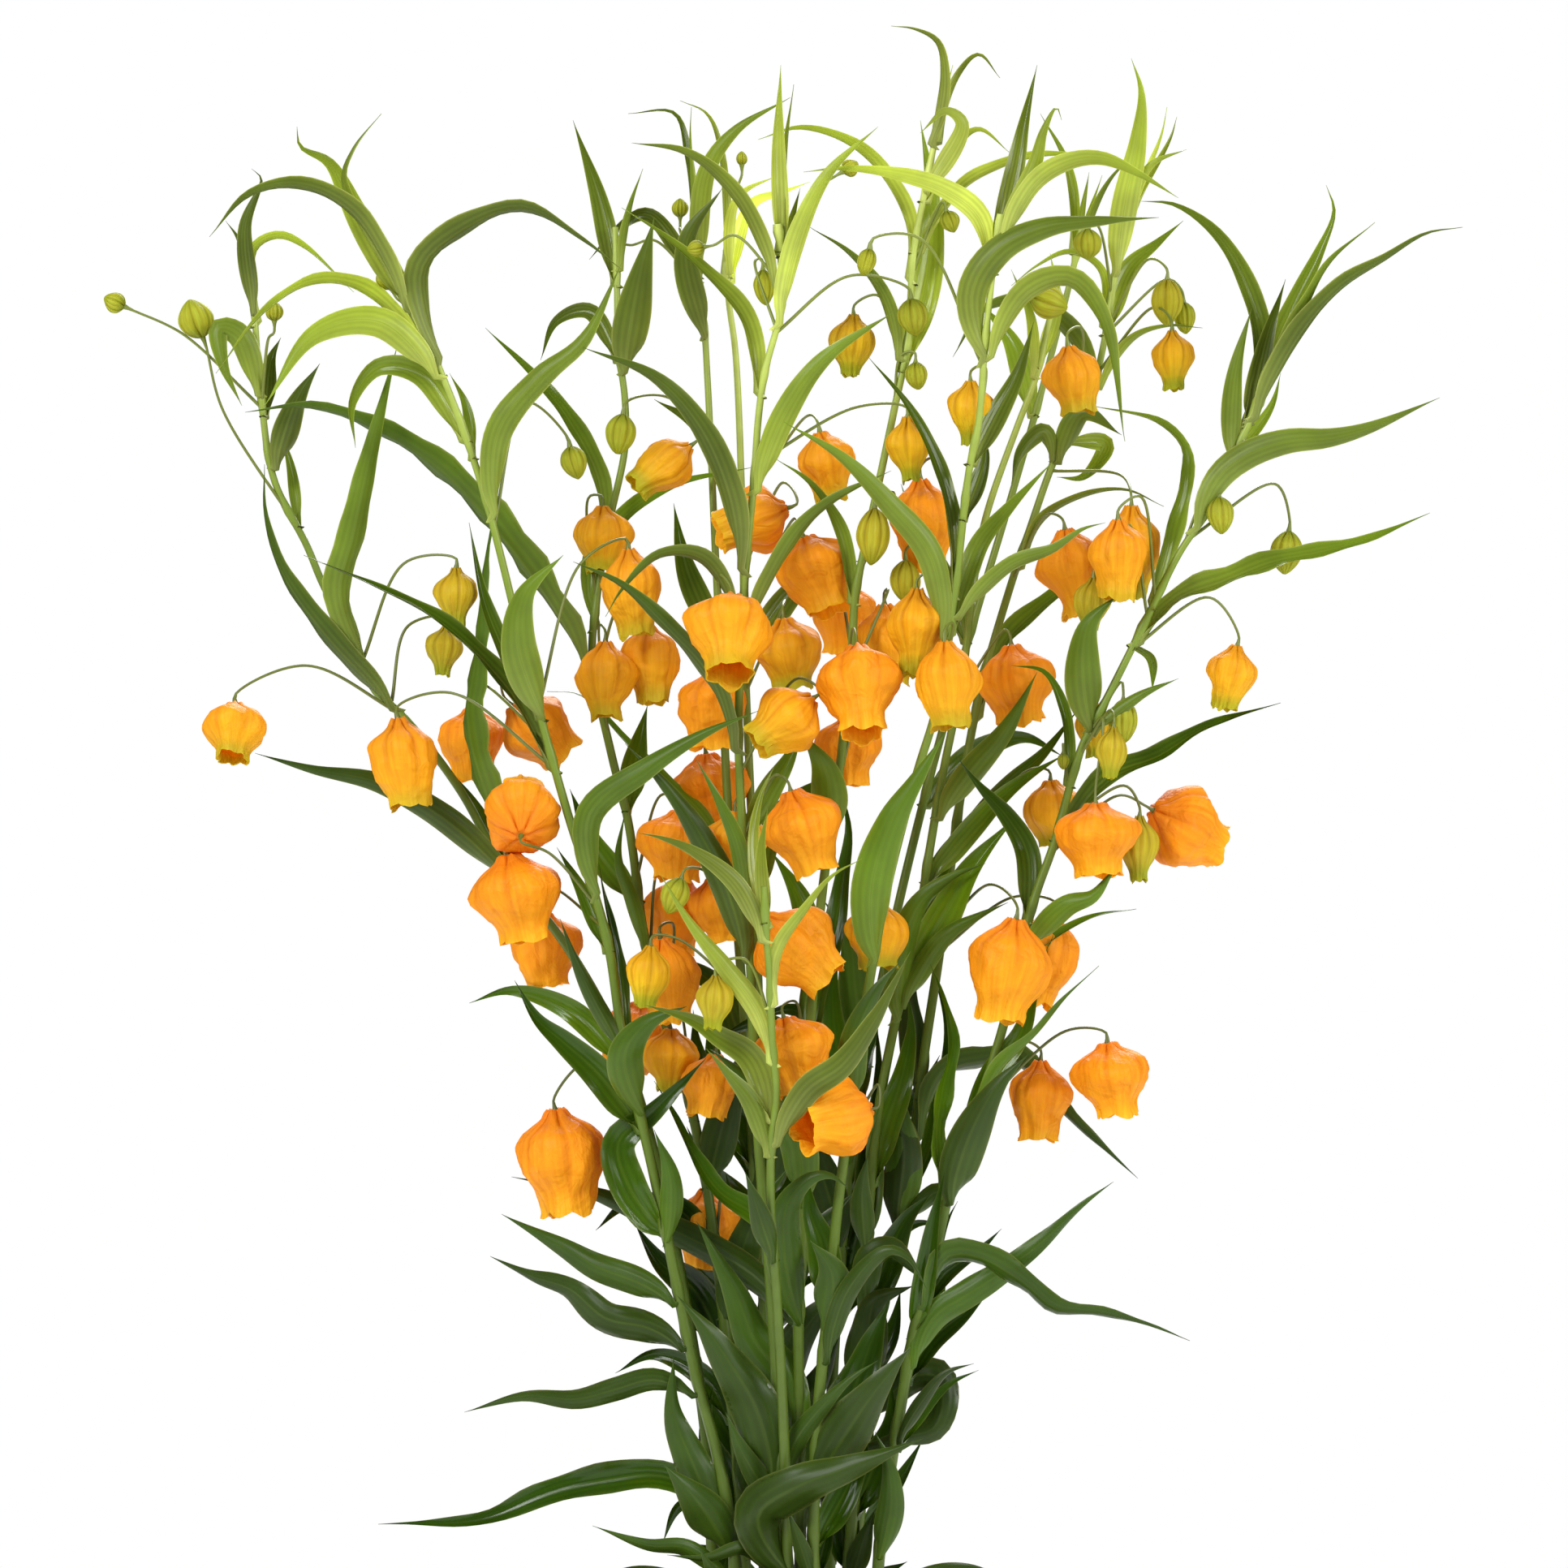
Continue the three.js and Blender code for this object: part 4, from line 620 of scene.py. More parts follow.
            [3.5, 14, 550, 55, 565, 65, 571, 78, 575, 99, 575],
            [5, 14, 442, 17, 460, 8, 474, -3, 482],
            [12, -14, 370, 13, 385, 5, 398],
            [8, 12, 333, 5, 346, -4, 361],
            [8, 14, 304, -6, 308, -20, 304],
            [9, 14, 298, 9, 317, 15, 335, 18, 352, 20, 368, 17, 382],
            [12, -14, 256, 4, 272, -4, 284, -14, 293, -23, 300],
            [7, 12, 236, -8, 248, -20, 256, -28, 268, -34, 280, -40, 290],
            [12, -16, 220, 0, 238, 1, 252, 8, 260, 14, 261, 20, 257],
            [10, -12, 220, -8, 229, -22, 238, -38, 246, -58, 255, -84, 260.5],
            [14, -12, 183, 0, 198, -9, 210, -15, 225, -27, 247],
            [9, -26, 128, 14, 136, 24, 139],
        ],
        "flowers": [
            [412, 21, 429, 22.5, 424, 25, 29, 4, 24, 1],
            [428, 17, 449, 19, 443.5, 21, 22, 0, 0, 0.95],
            [383, 22, 406, 20, 402.5, 20, 21, 0, 0, 1],
            [418, 32, 441, 31, 437, 20, 25, 5, 0, 0.8],
            [294, 4, 314, 0, 309.5, 25, 23, 14, 10, 1],
            [514, 29, 532, 21.5, 526, 13.5, 18.5, -3, 0, 0.45],
            [453, 34, 471, 28, 466.5, 10, 17.5, -4, 0, 0.3],
            [503, 36, 513.5, 40.5, 511.5, 6.5, 8.5, 6, 0, 0.2],
            [544, 46, 556, 50, 558, 6, 7, 20, 0, 0.1],
        ],
    },
    "right_front": {
        "depth": [-17, -46],
        "route": [
            8.9, 140, 9.3, 162, 10.6, 190, 13.9, 223, 16.4, 250, 20, 278, 23, 300, 28.5, 333, 33, 355,
            41, 385, 47, 405, 52, 435, 57, 478, 60, 493, 62, 518, 65, 545, 67, 557,
        ],
        "leaves": [
            [10, -12, 516, 58, 533, 66, 546, 80, 553, 95, 555, 115.5, 556],
            [7, 8, 549, 71, 570, 74, 585, 78, 603],
            [6, -6, 553, 77, 572, 80, 583, 84, 590, 85.5, 586],
            [7, 12, 544, 60, 556, 50, 564, 35, 569, 18, 571, 6, 570],
            [6, -14, 551, 78, 567, 88, 573, 98, 574, 110, 569, 121.5, 562],
            [7, -10, 517, 75, 533, 88, 537, 98, 525, 105, 487],
            [7, 14, 485, 66, 496, 72, 508, 77, 524],
            [9, -14, 430, 45, 452, 32, 468, 18, 482, 0, 493],
            [4.5, 12, 444, 51, 465, 46, 482, 38, 498, 26, 513],
            [7, 10, 432, 60, 455, 68, 465, 83, 481],
            [5, -10, 438, 70, 449, 83, 454, 92, 460, 99, 462],
            [6, 8, 468, 62, 485, 58, 490],
            [13, -18, 331, 27, 350, 33, 370, 42, 385, 50, 398],
            [10, -10, 286, 22, 303, 28, 317, 36, 327],
            [7, 10, 284, 25, 296, 29, 306],
            [13, -12, 219, 15, 230, 8, 241],
            [7, -14, 208, 20, 226, 32, 238, 38, 236, 44, 226],
            [16, -12, 172, 22, 186, 30, 197, 39, 208],
            [6, 6, 141, 13, 152, 11, 161],
            [6, -6, 141, 4, 150, 1, 158],
            [16, 12, 178, 22, 196, 27, 210, 33, 224],
            [10, 8, 152, 20, 166, 24, 178, 22, 190],
            [10, -32, 120, 18, 130, 28, 134],
            [11, 8, 226, 12, 238, 8, 250, 7, 262],
        ],
        "flowers": [
            [450, 47, 481, 42, 475.5, 21, 28, 3, 0, 0.95],
            [408, 52, 431, 49.5, 425.5, 19.5, 26, 4, 4, 0.8],
            [278, 29, 289, 26.5, 281.5, 23, 25, -78, 32, 1],
            [428, 49, 448, 41, 441.5, 18, 26, -2, 4, 0.7],
            [338, 32, 350, 29, 345, 18, 20, 0, 0, 0.7],
            [488, 62, 510, 57.5, 505.5, 14, 19, 0, 0, 0.5],
            [438, 43, 455, 37.5, 450.5, 9, 13, 0, 0, 0.3],
            [516, 42, 549.5, 26.5, 546.5, 5.5, 8.5, -15, 0, 0.2],
        ],
    },
    "right_mid": {
        "depth": [2, 22],
        "route": [
            20, 140, 22, 170, 24.5, 222, 25.6, 243, 29, 280, 35, 312, 42, 343, 45, 362, 49, 385, 55, 415,
            58, 440, 62, 463, 72, 492, 77, 505, 81, 521, 83, 530,
        ],
        "leaves": [
            [5, 10, 515, 84, 530, 82, 545],
            [4, -8, 512, 76, 525, 70, 540],
            [9, -10, 376, 58, 386, 68, 398, 78, 416],
            [8, 12, 356, 58, 368, 70, 380, 87, 391],
            [7, 12, 341, 50, 360, 60, 371, 68, 378],
            [12, 14, 324, 50, 342, 58, 356, 72, 372],
            [7, -10, 318, 50, 335, 60, 341, 69, 345],
            [10, -14, 313, 36, 330, 42, 345, 52, 353, 62, 357],
            [8, 8, 243, 25.5, 262, 29, 285, 28.5, 309],
            [8, -10, 243, 24, 255, 26, 268],
            [14, -10, 198, 26, 212, 28, 222, 40, 227],
            [12, 10, 144, 18, 156, 24, 167, 31, 177],
            [8, -6, 140, 25, 150, 28, 158],
            [11, 10, 160, 28, 172, 33, 184, 33, 198],
            [12, 12, 222, 32, 236, 38, 248, 46, 256],
            [9, 26, 126, 28, 136, 38, 142],
            [9, -6, 242, 26.5, 255, 27, 270, 28.5, 286, 29, 304],
            [10, -8, 224, 27, 236, 33, 238.5, 39, 233, 45.5, 226],
            [10, 8, 262, 31, 275, 36, 290, 39, 306, 38, 318],
        ],
        "flowers": [
            [414, 68, 429, 70, 424.5, 23, 24, 8, 0, 1],
            [512, 75, 531, 76, 532, 10, 12, 70, 0, 0.25],
        ],
    },
    "back_right": {
        "depth": [22, 58],
        "route": [14, 140, 15, 200, 20, 260, 30, 320, 44, 380, 58, 430, 70, 470, 80, 505, 89, 540, 92, 554],
        "leaves": [
            [3.5, 5, 550, 87, 572, 79, 588],
            [2.5, -5, 551, 101, 568, 110, 577],
            [2.2, 2, 552, 94, 570],
            [2.2, 4, 550, 98, 569],
            [8, 20, 500, 70, 518, 60, 530],
            [9, 22, 430, 48, 446, 40, 462, 36, 474],
            [9, 20, 380, 60, 392, 74, 396, 86, 390],
            [9, 24, 290, 14, 304, 2, 312, -10, 308],
            [9, 24, 220, 28, 236, 40, 246, 50, 246],
            [13, 8, 146, 20, 162, 25, 176, 28, 190],
            [14, -6, 162, 8, 180, 4, 196, -4, 208],
            [13, 8, 184, 24, 200, 33, 212, 36, 226],
            [13, -6, 244, 12, 260, 6, 274, 2, 290],
            [12, 8, 262, 30, 276, 42, 286, 48, 298],
            [12, -6, 300, 22, 318, 20, 334, 12, 346],
            [10, 34, 122, 20, 134, 24, 146],
            [12, 8, 268, 19, 285, 16, 302, 15, 318, 17, 334],
            [9, 8, 232, 21, 246, 24, 262, 23, 276],
        ],
        "flowers": [],
    },
    "right": {
        "depth": [12, 40],
        "route": [
            22, 140, 25, 180, 28, 215, 32, 238, 38, 254, 42, 290, 48, 330, 54, 375, 60, 408, 69, 440,
            75, 458, 86, 487, 94, 497, 97, 510, 100, 525, 103, 545, 107, 563,
        ],
        "leaves": [
            [8.5, -8, 543, 105, 560, 109, 580, 110, 595, 107, 605],
            [7, 10, 525, 106, 540, 115, 548, 123, 555],
            [3.5, -6, 559, 113, 572, 124, 577],
            [2.5, 6, 560, 116, 580, 118, 590],
            [2.2, 10, 561, 119, 580, 121, 587],
            [3, -12, 509, 108, 519, 118, 522.5, 129, 522],
            [6, -12, 495, 93, 510, 87, 522, 75, 530, 62, 528, 52, 513],
            [3, 12, 527, 97, 540, 88, 545, 78, 541, 70, 535],
            [8, -10, 486, 92, 496, 104, 489],
            [6, 14, 493, 99, 486, 92, 476, 84, 476],
            [6, -12, 487, 80, 490, 73, 484, 70, 474],
            [2.5, -14, 453, 80, 463, 92, 470, 105, 472, 117, 467],
            [5.5, 14, 406, 68, 425, 85, 441, 100, 453, 116, 459],
            [6, 14, 370, 70, 382, 80, 391, 91, 405],
            [7, -10, 276, 50, 293, 62, 296.5, 72, 297, 80, 289, 88.5, 279, 98, 270, 109, 260],
            [5, 10, 260, 46, 272, 49.5, 288, 51, 302, 48, 318, 44, 328],
            [13, -8, 250, 37, 270, 34, 283, 35.5, 293],
            [6, -16, 252, 48, 256, 48, 248, 44, 234],
            [11, -20, 192, 40, 199, 47, 199, 49, 191, 46, 183, 35, 180, 16, 174],
            [6, 10, 156, 36, 168, 43, 180],
            [10, 10, 120, 34, 129, 48, 136, 62, 134],
            [12, -8, 252, 37, 263, 36, 278, 35, 292],
            [10, -6, 290, 40, 302, 38.5, 316, 41, 334],
            [8, 8, 216, 30, 228, 35, 240, 36, 252],
        ],
        "flowers": [
            [498, 92, 521, 87.5, 516.5, 18, 20.5, 8, 0, 0.8],
            [450, 80, 464, 86.5, 460, 21, 26.5, 12, 0, 0.9],
            [343, 63, 350.5, 71.5, 340, 24, 31, -10, 0, 0.95],
            [336, 70, 346.5, 83, 342, 22, 28.5, -12, 0, 1],
            [484, 103, 477, 107, 467, 18, 28, 0, 0, 0.7],
            [370, 76, 386, 82, 382.5, 19, 20, 5, 0, 0.7],
            [514, 113, 528, 119.5, 521, 12.5, 18, 2, 0, 0.5],
            [528, 112, 543, 118, 537, 9.5, 14.5, 0, 0, 0.3],
            [526, 118, 537, 123, 530, 6.5, 10, 5, 0, 0.2],
            [538, 97, 553, 93.5, 552.5, 9, 9.5, 0, 0, 0.2],
        ],
    },
    "far_right": {
        "depth": [-6, -16],
        "route": [
            29, 140, 32, 165, 36, 190, 40, 212, 46.8, 238, 51.4, 258, 58.5, 279, 67, 305, 76.8, 345,
            83.5, 364, 91.8, 393, 98, 405, 111, 431, 122, 453, 130, 465, 141, 488, 147, 501,
        ],
        "leaves": [
            [7, 10, 493, 147, 515, 141, 538, 132, 552, 120, 560, 110, 561],
            [7, -6, 486, 139, 508, 144, 528],
            [7, 4, 497, 149, 520, 154.5, 537],
            [6, -10, 498, 160, 522, 172, 535, 185, 543, 198, 551, 209, 553],
            [6, 12, 499, 157, 528, 165, 545, 169.5, 558, 167, 566],
            [5, -6, 499, 160, 527, 168, 542, 182, 554.5],
            [4, 8, 487, 150, 498, 153, 508],
            [9, -12, 464, 134, 476, 143, 483, 155, 487, 168, 488, 180, 491, 202, 500.5],
            [6, 12, 429, 120, 438, 135, 444, 150, 450, 165, 453, 180, 457, 199, 465],
            [6, 14, 441, 119, 460, 123, 475, 123, 485, 115, 493, 95, 498],
            [12, -12, 403, 92, 420, 94, 431, 103, 440],
            [4, 8, 430, 113, 420, 113.5, 410],
            [4.5, -6, 403, 110, 409, 121.5, 414],
            [7, 10, 369, 100, 384, 115, 390, 130, 399, 153, 406.5],
            [4, 14, 386, 86, 404, 80, 416, 70, 418],
            [8, 8, 344, 75, 360, 69, 371, 60, 381, 53, 390],
            [8, -10, 336, 87, 344, 95, 347, 100, 353, 103, 357],
            [2.5, 12, 334, 95, 340.5, 108.5, 343],
            [8, 10, 276, 64, 292, 73, 305, 77, 320, 83, 335],
            [4, -10, 278, 66, 293, 78, 305, 87, 316, 97, 325.5],
            [13, -14, 257, 58, 275, 66, 289, 75, 298],
            [9, -10, 206, 46, 217, 56, 224, 67, 231, 80, 241, 92, 252, 101.5, 259],
            [8, 12, 202, 45, 210, 56, 219, 66, 229],
            [8, -14, 224, 50, 236, 60, 236, 74, 228, 84, 220, 98, 218.5, 112, 215, 125, 210],
            [6, 12, 225, 50, 231, 60, 238, 67, 244.5],
            [3, 8, 234, 51, 248, 53.5, 253],
            [8, 16, 212, 47, 225, 49, 238],
            [5, -10, 184, 43, 192, 50, 200, 58.5, 203],
            [4, 10, 182, 50, 196, 60, 201],
            [9, -6, 148, 33, 160, 32, 172, 28, 182],
            [9, -16, 126, 40, 134, 56, 139, 74, 134],
            [8, 10, 216, 43.5, 230, 46, 246, 49.5, 262],
            [5, 8, 258, 47, 272, 49, 288, 52, 302, 49, 316, 45, 326],
        ],
        "flowers": [
            [444, 110, 470, 103, 463, 18, 24, 0, 0, 0.85],
            [366, 103, 378, 113.5, 373.5, 25, 26, 60, -28, 1],
            [402, 98, 402, 96, 375.8, 26, 22, 2, 4, 1],
            [288, 72, 302, 79, 296.5, 19, 24, -2, 0, 1],
            [286, 87, 305.5, 99.5, 302, 24, 22.5, 8, 0, 1],
            [429, 131, 439, 139.5, 424, 14.5, 19.5, -12, 0, 0.7],
            [439, 106, 461.5, 95.5, 445, 11.5, 15.5, -4, 0, 0.35],
            [403, 92, 412, 95.5, 406.5, 11, 17, 0, 0, 0.45],
            [396, 100, 404, 101.5, 399, 9.5, 15.5, -4, 0, 0.35],
            [374, 105, 381, 109.5, 371.5, 12.5, 19.5, 0, 0, 0.35],
            [402, 104, 413, 104.5, 407.5, 8.5, 13.5, 0, 0, 0.25],
            [460, 131, 473, 134, 470, 8, 11.5, 4, 0, 0.25],
            [463, 151, 474, 155.5, 459.5, 9.5, 13.5, -6, 0, 0.25],
            [386, 86, 393, 86, 391, 3.5, 5, 0, 0, 0.1],
        ],
    },
}
EYE_DISTANCE = 2500
EYE_HEIGHT = 381.5
DRAWN_FROM_Z = 140
STEM_FOOT_Z = 92
STEM_IN_SOIL_Z = 116
STEM_ROWS = 190
STEM_SIDES = 12
STEM_RADIUS_LOW = 1.9
STEM_RADIUS_HIGH = 0.9
STEM_RIDGES = 0.035
SWELLING = 0.28
SWELLING_REACH = 2.6
THICKEST_STEM = 2.25
CURVE_STEPS = 16


def share_between(value, low, high):
    """0 up to low, 1 from high on, and evenly between them"""
    return np.clip((value - low) / (high - low), 0, 1)


def place_drawn(x, z, y):
    """The point at depth y that the eye sees at x and z of the plane y = 0"""
    k = 1 + np.asarray(y, float) / EYE_DISTANCE
    return np.stack([x * k, y + 0 * k, EYE_HEIGHT + (z - EYE_HEIGHT) * k], axis=-1)


def stem_depth(shoot, z):
    low, high = shoot["depth"]
    return low + (high - low) * share_between(z, DRAWN_FROM_Z, shoot["route"][-1]) ** 1.2


def on_stem(shoot, z):
    """The drawn x of a stem at a height, and its depth there"""
    route = np.array(shoot["route"], float).reshape(-1, 2)
    return float(np.interp(z, route[:, 1], route[:, 0])), float(stem_depth(shoot, z))


def even_curve(points, count):
    """Even points along a centripetal curve through the given points"""
    p = np.array(points, float)
    p = np.vstack([2 * p[0] - p[1], p, 2 * p[-1] - p[-2]])
    t = np.linspace(0, 1, CURVE_STEPS, endpoint=False)[:, None]
    fine = []
    for a, b, c, d in zip(p, p[1:], p[2:], p[3:]):
        before, here, after = (max(np.linalg.norm(w) ** 0.5, 1e-3) for w in (b - a, c - b, d - c))
        into = ((b - a) / before - (c - a) / (before + here) + (c - b) / here) * here
        out = ((c - b) / here - (d - b) / (here + after) + (d - c) / after) * here
        fine.append(b + into * t + (3 * (c - b) - 2 * into - out) * t**2 + (2 * (b - c) + into + out) * t**3)
    fine = np.vstack([*fine, p[-2:-1]])
    run = np.concatenate([[0], np.cumsum(np.linalg.norm(np.diff(fine, axis=0), axis=1))])
    at = np.linspace(0, run[-1], count)
    return np.column_stack([np.interp(at, run, fine[:, i]) for i in range(p.shape[1])])


def unit(v):
    return v / np.maximum(np.linalg.norm(v, axis=-1, keepdims=True), 1e-9)


def tube(line, radii, sides, start=(1.0, 0.0, 0.0), ridges=0.0):
    """Rings round a line. The last ring starts towards the given side."""
    along = unit(np.gradient(line, axis=0))
    across = np.array(start, float)
    angles = np.arange(sides) / sides * 2 * math.pi
    rings = np.empty((len(line), sides, 3))
    for i in range(len(line) - 1, -1, -1):
        across = unit(across - along[i] * across.dot(along[i]))
        up = np.cross(along[i], across)
        radius = radii[i] * (1 + ridges * np.cos(angles * sides / 2))
        rings[i] = line[i] + np.outer(radius * np.cos(angles), across) + np.outer(radius * np.sin(angles), up)
    return rings


# Youth runs from 0, the dark old growth low on the plant, to 1, the lime green tips of the shoots. The front
# shoot is the youngest, and some shoots are a little ahead of the others or behind them.
OLD_BELOW_Z = 190
YOUNG_ABOVE_Z = 590
FRONT_TURNS_Z = (250, 275)
FRONT_AHEAD = 0.62
FRONT_STEM_SHARE = 0.6
AHEAD_ABOVE_Z = 240
AHEAD = {
    "centre": 0.05, "back_left": 0.08, "right_mid": 0.04, "left_back": -0.12, "centre_left": -0.06,
    "back_right": -0.08, "far_left": -0.05,
}
MOST_YOUTH = 0.97


def youth_at(name, z):
    grown = share_between(z, OLD_BELOW_Z, YOUNG_ABOVE_Z) ** 1.25
    if name == "front":
        grown += FRONT_AHEAD * share_between(z, *FRONT_TURNS_Z)
    elif z > AHEAD_ABOVE_Z:
        grown += AHEAD.get(name, 0)
    return min(max(grown, 0), MOST_YOUTH)


stem_green, tree = new_material("stem_green")
green = add_ramp(
    tree,
    add_value(tree, "youth"),
    [
        (0, (0.070, 0.115, 0.008)),
        (0.3, (0.105, 0.165, 0.012)),
        (0.6, (0.175, 0.245, 0.025)),
        (0.85, (0.40, 0.48, 0.09)),
        (1, (0.56, 0.62, 0.16)),
    ],
)
surface = add_node(
    tree,
    "ShaderNodeBsdfPrincipled",
    {"Base Color": add_mottle(tree, green, 140.0, 0.45), "Roughness": 0.42, "Specular IOR Level": 0.4},
)
wear_surface(tree, surface)

for name, shoot in SHOOTS.items():
    route = np.array(shoot["route"], float).reshape(-1, 2)
    line = place_drawn(route[:, 0], route[:, 1], stem_depth(shoot, route[:, 1]))
    foot_x, foot_y = line[0, :2]
    line = np.vstack([[foot_x, foot_y, STEM_FOOT_Z], [foot_x, foot_y, STEM_IN_SOIL_Z], line])
    line = even_curve(line, STEM_ROWS)
    radii = np.linspace(STEM_RADIUS_LOW, STEM_RADIUS_HIGH, STEM_ROWS)
    for leaf in shoot["leaves"]:
        radii += SWELLING * np.exp(-(((line[:, 2] - leaf[2]) / SWELLING_REACH) ** 2))
    ages = np.array([youth_at(name, z) for z in line[:, 2]])
    if name == "front":
        ages *= FRONT_STEM_SHARE
    stem = Piece()
    rings = tube(line, np.minimum(radii, THICKEST_STEM), STEM_SIDES, ridges=STEM_RIDGES)
    stem.loft(rings, youth=ages[:, None])
    stem.finish("stem_" + name, stem_green, ["shoot_" + name])

# Leaves
# A leaf has no stalk: its base wraps the stem, and the blade is a long lance that draws out to a thin curling
# tip. It is gutter shaped, with parallel veins, glossy and dark when old, soft and lime green when young.
LEAF_ROWS = 30
LEAF_ACROSS = 9
LEAF_THICKNESS = 0.42
WIDTH_PER_LENGTH = 0.085
WIDEST_PER_SEEN = 2.4
TWIST = 0.5
TWIST_FROM = 0.3
CLASP_SHARE = 0.22
CLASP_HALF_WIDTH = 2.3
CLASP_WIDTH_REACH = 9
CLASP_CURL = 1.5
CLASP_CURL_REACH = 7
CLASP_SHIFT = -2.0
CLASP_SHIFT_REACH = 8
TIP_TAPER = 0.22
TIP_HALF_WIDTH = 0.05
BLADE_CURL = 0.55
CURL_SPREAD = (-0.15, 0.2)
WAVE_HEIGHTS = (0.06, 0.17)
WAVE_LENGTHS = (16, 26)
CREASE_RISE = 0.20
CREASE_DROP = 0.08
ROOT_DEPTH = 6
LOWEST_ROOT_Z = 114
MM_PER_METRE = 1000

# The green goes with the leaf's age, a little darker towards its tip and from one leaf to the next.
leaf_green, tree = new_material("leaf_green")
youth = add_value(tree, "youth")
along = add_value(tree, "along")
across = add_value(tree, "across")
under = add_value(tree, "under")
tone = add_value(tree, "tone")
aged = add_math(tree, "ADD", youth, add_math(tree, "MULTIPLY_ADD", along, -0.28, 0.10))
aged = add_math(tree, "ADD", aged, add_math(tree, "MULTIPLY", tone, 0.09), clamp=True)
blade = add_ramp(
    tree,
    aged,
    [
        (0, (0.020, 0.052, 0.001)),
        (0.12, (0.036, 0.084, 0.001)),
        (0.3, (0.086, 0.158, 0.003)),
        (0.45, (0.108, 0.168, 0.008)),
        (0.56, (0.120, 0.168, 0.013)),
        (0.7, (0.142, 0.200, 0.014)),
        (0.84, (0.25, 0.305, 0.03)),
        (1, (0.46, 0.51, 0.13)),
    ],
)

# The veins fade towards the tip, and the midrib is a pale line with painted shade in the fold down its
# middle.
beside = add_math(tree, "ABSOLUTE", across)
fade = add_math(tree, "MULTIPLY_ADD", along, -1.2, 1.1, clamp=True)
vein_wave = add_math(tree, "COSINE", add_math(tree, "MULTIPLY", across, 17.0))
vein = add_math(tree, "MULTIPLY", vein_wave, fade)
vein_share = add_math(tree, "MULTIPLY_ADD", youth, 0.07, 0.15)
shade = add_math(tree, "MULTIPLY_ADD", tone, 0.46, add_math(tree, "MULTIPLY_ADD", vein, vein_share, 1.05))
green = add_node(tree, "ShaderNodeVectorMath", {0: blade, "Scale": shade}, operation="SCALE").outputs[0]
rib = add_math(tree, "SUBTRACT", 1.0, add_math(tree, "MULTIPLY", beside, 11.0), clamp=True)
rib = add_math(tree, "MULTIPLY", rib, fade)
rib_share = add_math(tree, "MULTIPLY", rib, add_math(tree, "MULTIPLY_ADD", youth, 0.22, 0.1))
green = add_mix(tree, rib_share, green, (0.44, 0.54, 0.10, 1))
# Painted shade: a dark green line laid into the crease down the middle of the midrib.
fold = add_math(tree, "SUBTRACT", 1.0, add_math(tree, "MULTIPLY", beside, 19.0), clamp=True)
fold = add_math(tree, "MULTIPLY", fold, add_math(tree, "MULTIPLY", fade, 0.5))
green = add_mix(tree, fold, green, (0.02, 0.05, 0.002, 1))

# The foot of a young blade and its edges are paler, and so is its underside.
near_stem = add_math(tree, "POWER", add_math(tree, "SUBTRACT", 1.0, along), 5.0)
foot_share = add_math(tree, "MULTIPLY", near_stem, add_math(tree, "MULTIPLY", youth, 0.6))
green = add_mix(tree, foot_share, green, (0.6, 0.66, 0.2, 1))
edge_share = add_math(tree, "MULTIPLY_ADD", youth, 0.45, 0.13)
edge_share = add_math(tree, "MULTIPLY", add_math(tree, "POWER", beside, 12.0), edge_share)
green = add_mix(tree, edge_share, green, (0.66, 0.72, 0.2, 1))
green = add_mix(tree, add_math(tree, "MULTIPLY", under, 0.15), green, (0.12, 0.18, 0.03, 1))
green = add_mottle(tree, green, 75.0, 0.6)

# Veins and midrib stand out on the skin, less on a narrow blade. Light comes through, more in the young.
gutter = add_math(tree, "MULTIPLY_ADD", vein_wave, 0.6, add_math(tree, "MULTIPLY", rib, -1.2))
relief = add_math(tree, "MULTIPLY", add_value(tree, "half_width"), 0.016)
firm = add_math(tree, "MULTIPLY", fade, 0.9)
bump = add_node(tree, "ShaderNodeBump", {"Height": gutter, "Strength": firm, "Distance": relief})
gloss = add_math(tree, "MULTIPLY_ADD", under, 0.18, 0.22)
skin = add_node(
    tree,
    "ShaderNodeBsdfPrincipled",
    {
        "Base Color": green,
        "Roughness": gloss,
        "Specular IOR Level": 0.28,
        "Normal": bump.outputs["Normal"],
    },
)
glow_colour = add_node(
    tree, "ShaderNodeHueSaturation", {"Hue": 0.485, "Saturation": 1.1, "Value": 1.6, "Color": green}
).outputs["Color"]
glow = add_node(tree, "ShaderNodeBsdfTranslucent", {"Color": glow_colour})
through = add_math(tree, "MULTIPLY_ADD", youth, 0.22, 0.22)
surface = add_node(tree, "ShaderNodeMixShader", {0: through, 1: skin.outputs[0], 2: glow.outputs[0]})
wear_surface(tree, surface)


def drawn_corners(node):
    """The corners of a CAD node: x and z as the eye sees them in the plane y = 0, and depth, in mm"""
    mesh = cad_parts[node].data
    corners = np.empty(len(mesh.vertices) * 3)
    mesh.vertices.foreach_get("co", corners)
    corners = corners.reshape(-1, 3) * MM_PER_METRE
    k = 1 + corners[:, 1] / EYE_DISTANCE
    return np.column_stack([corners[:, 0] / k, EYE_HEIGHT + (corners[:, 2] - EYE_HEIGHT) / k, corners[:, 1]])


def depth_of(corners, x, z):
    """Depth of the corner of the CAD model that is drawn at x and z"""
    return corners[int(np.argmin(np.hypot(corners[:, 0] - x, corners[:, 1] - z))), 2]


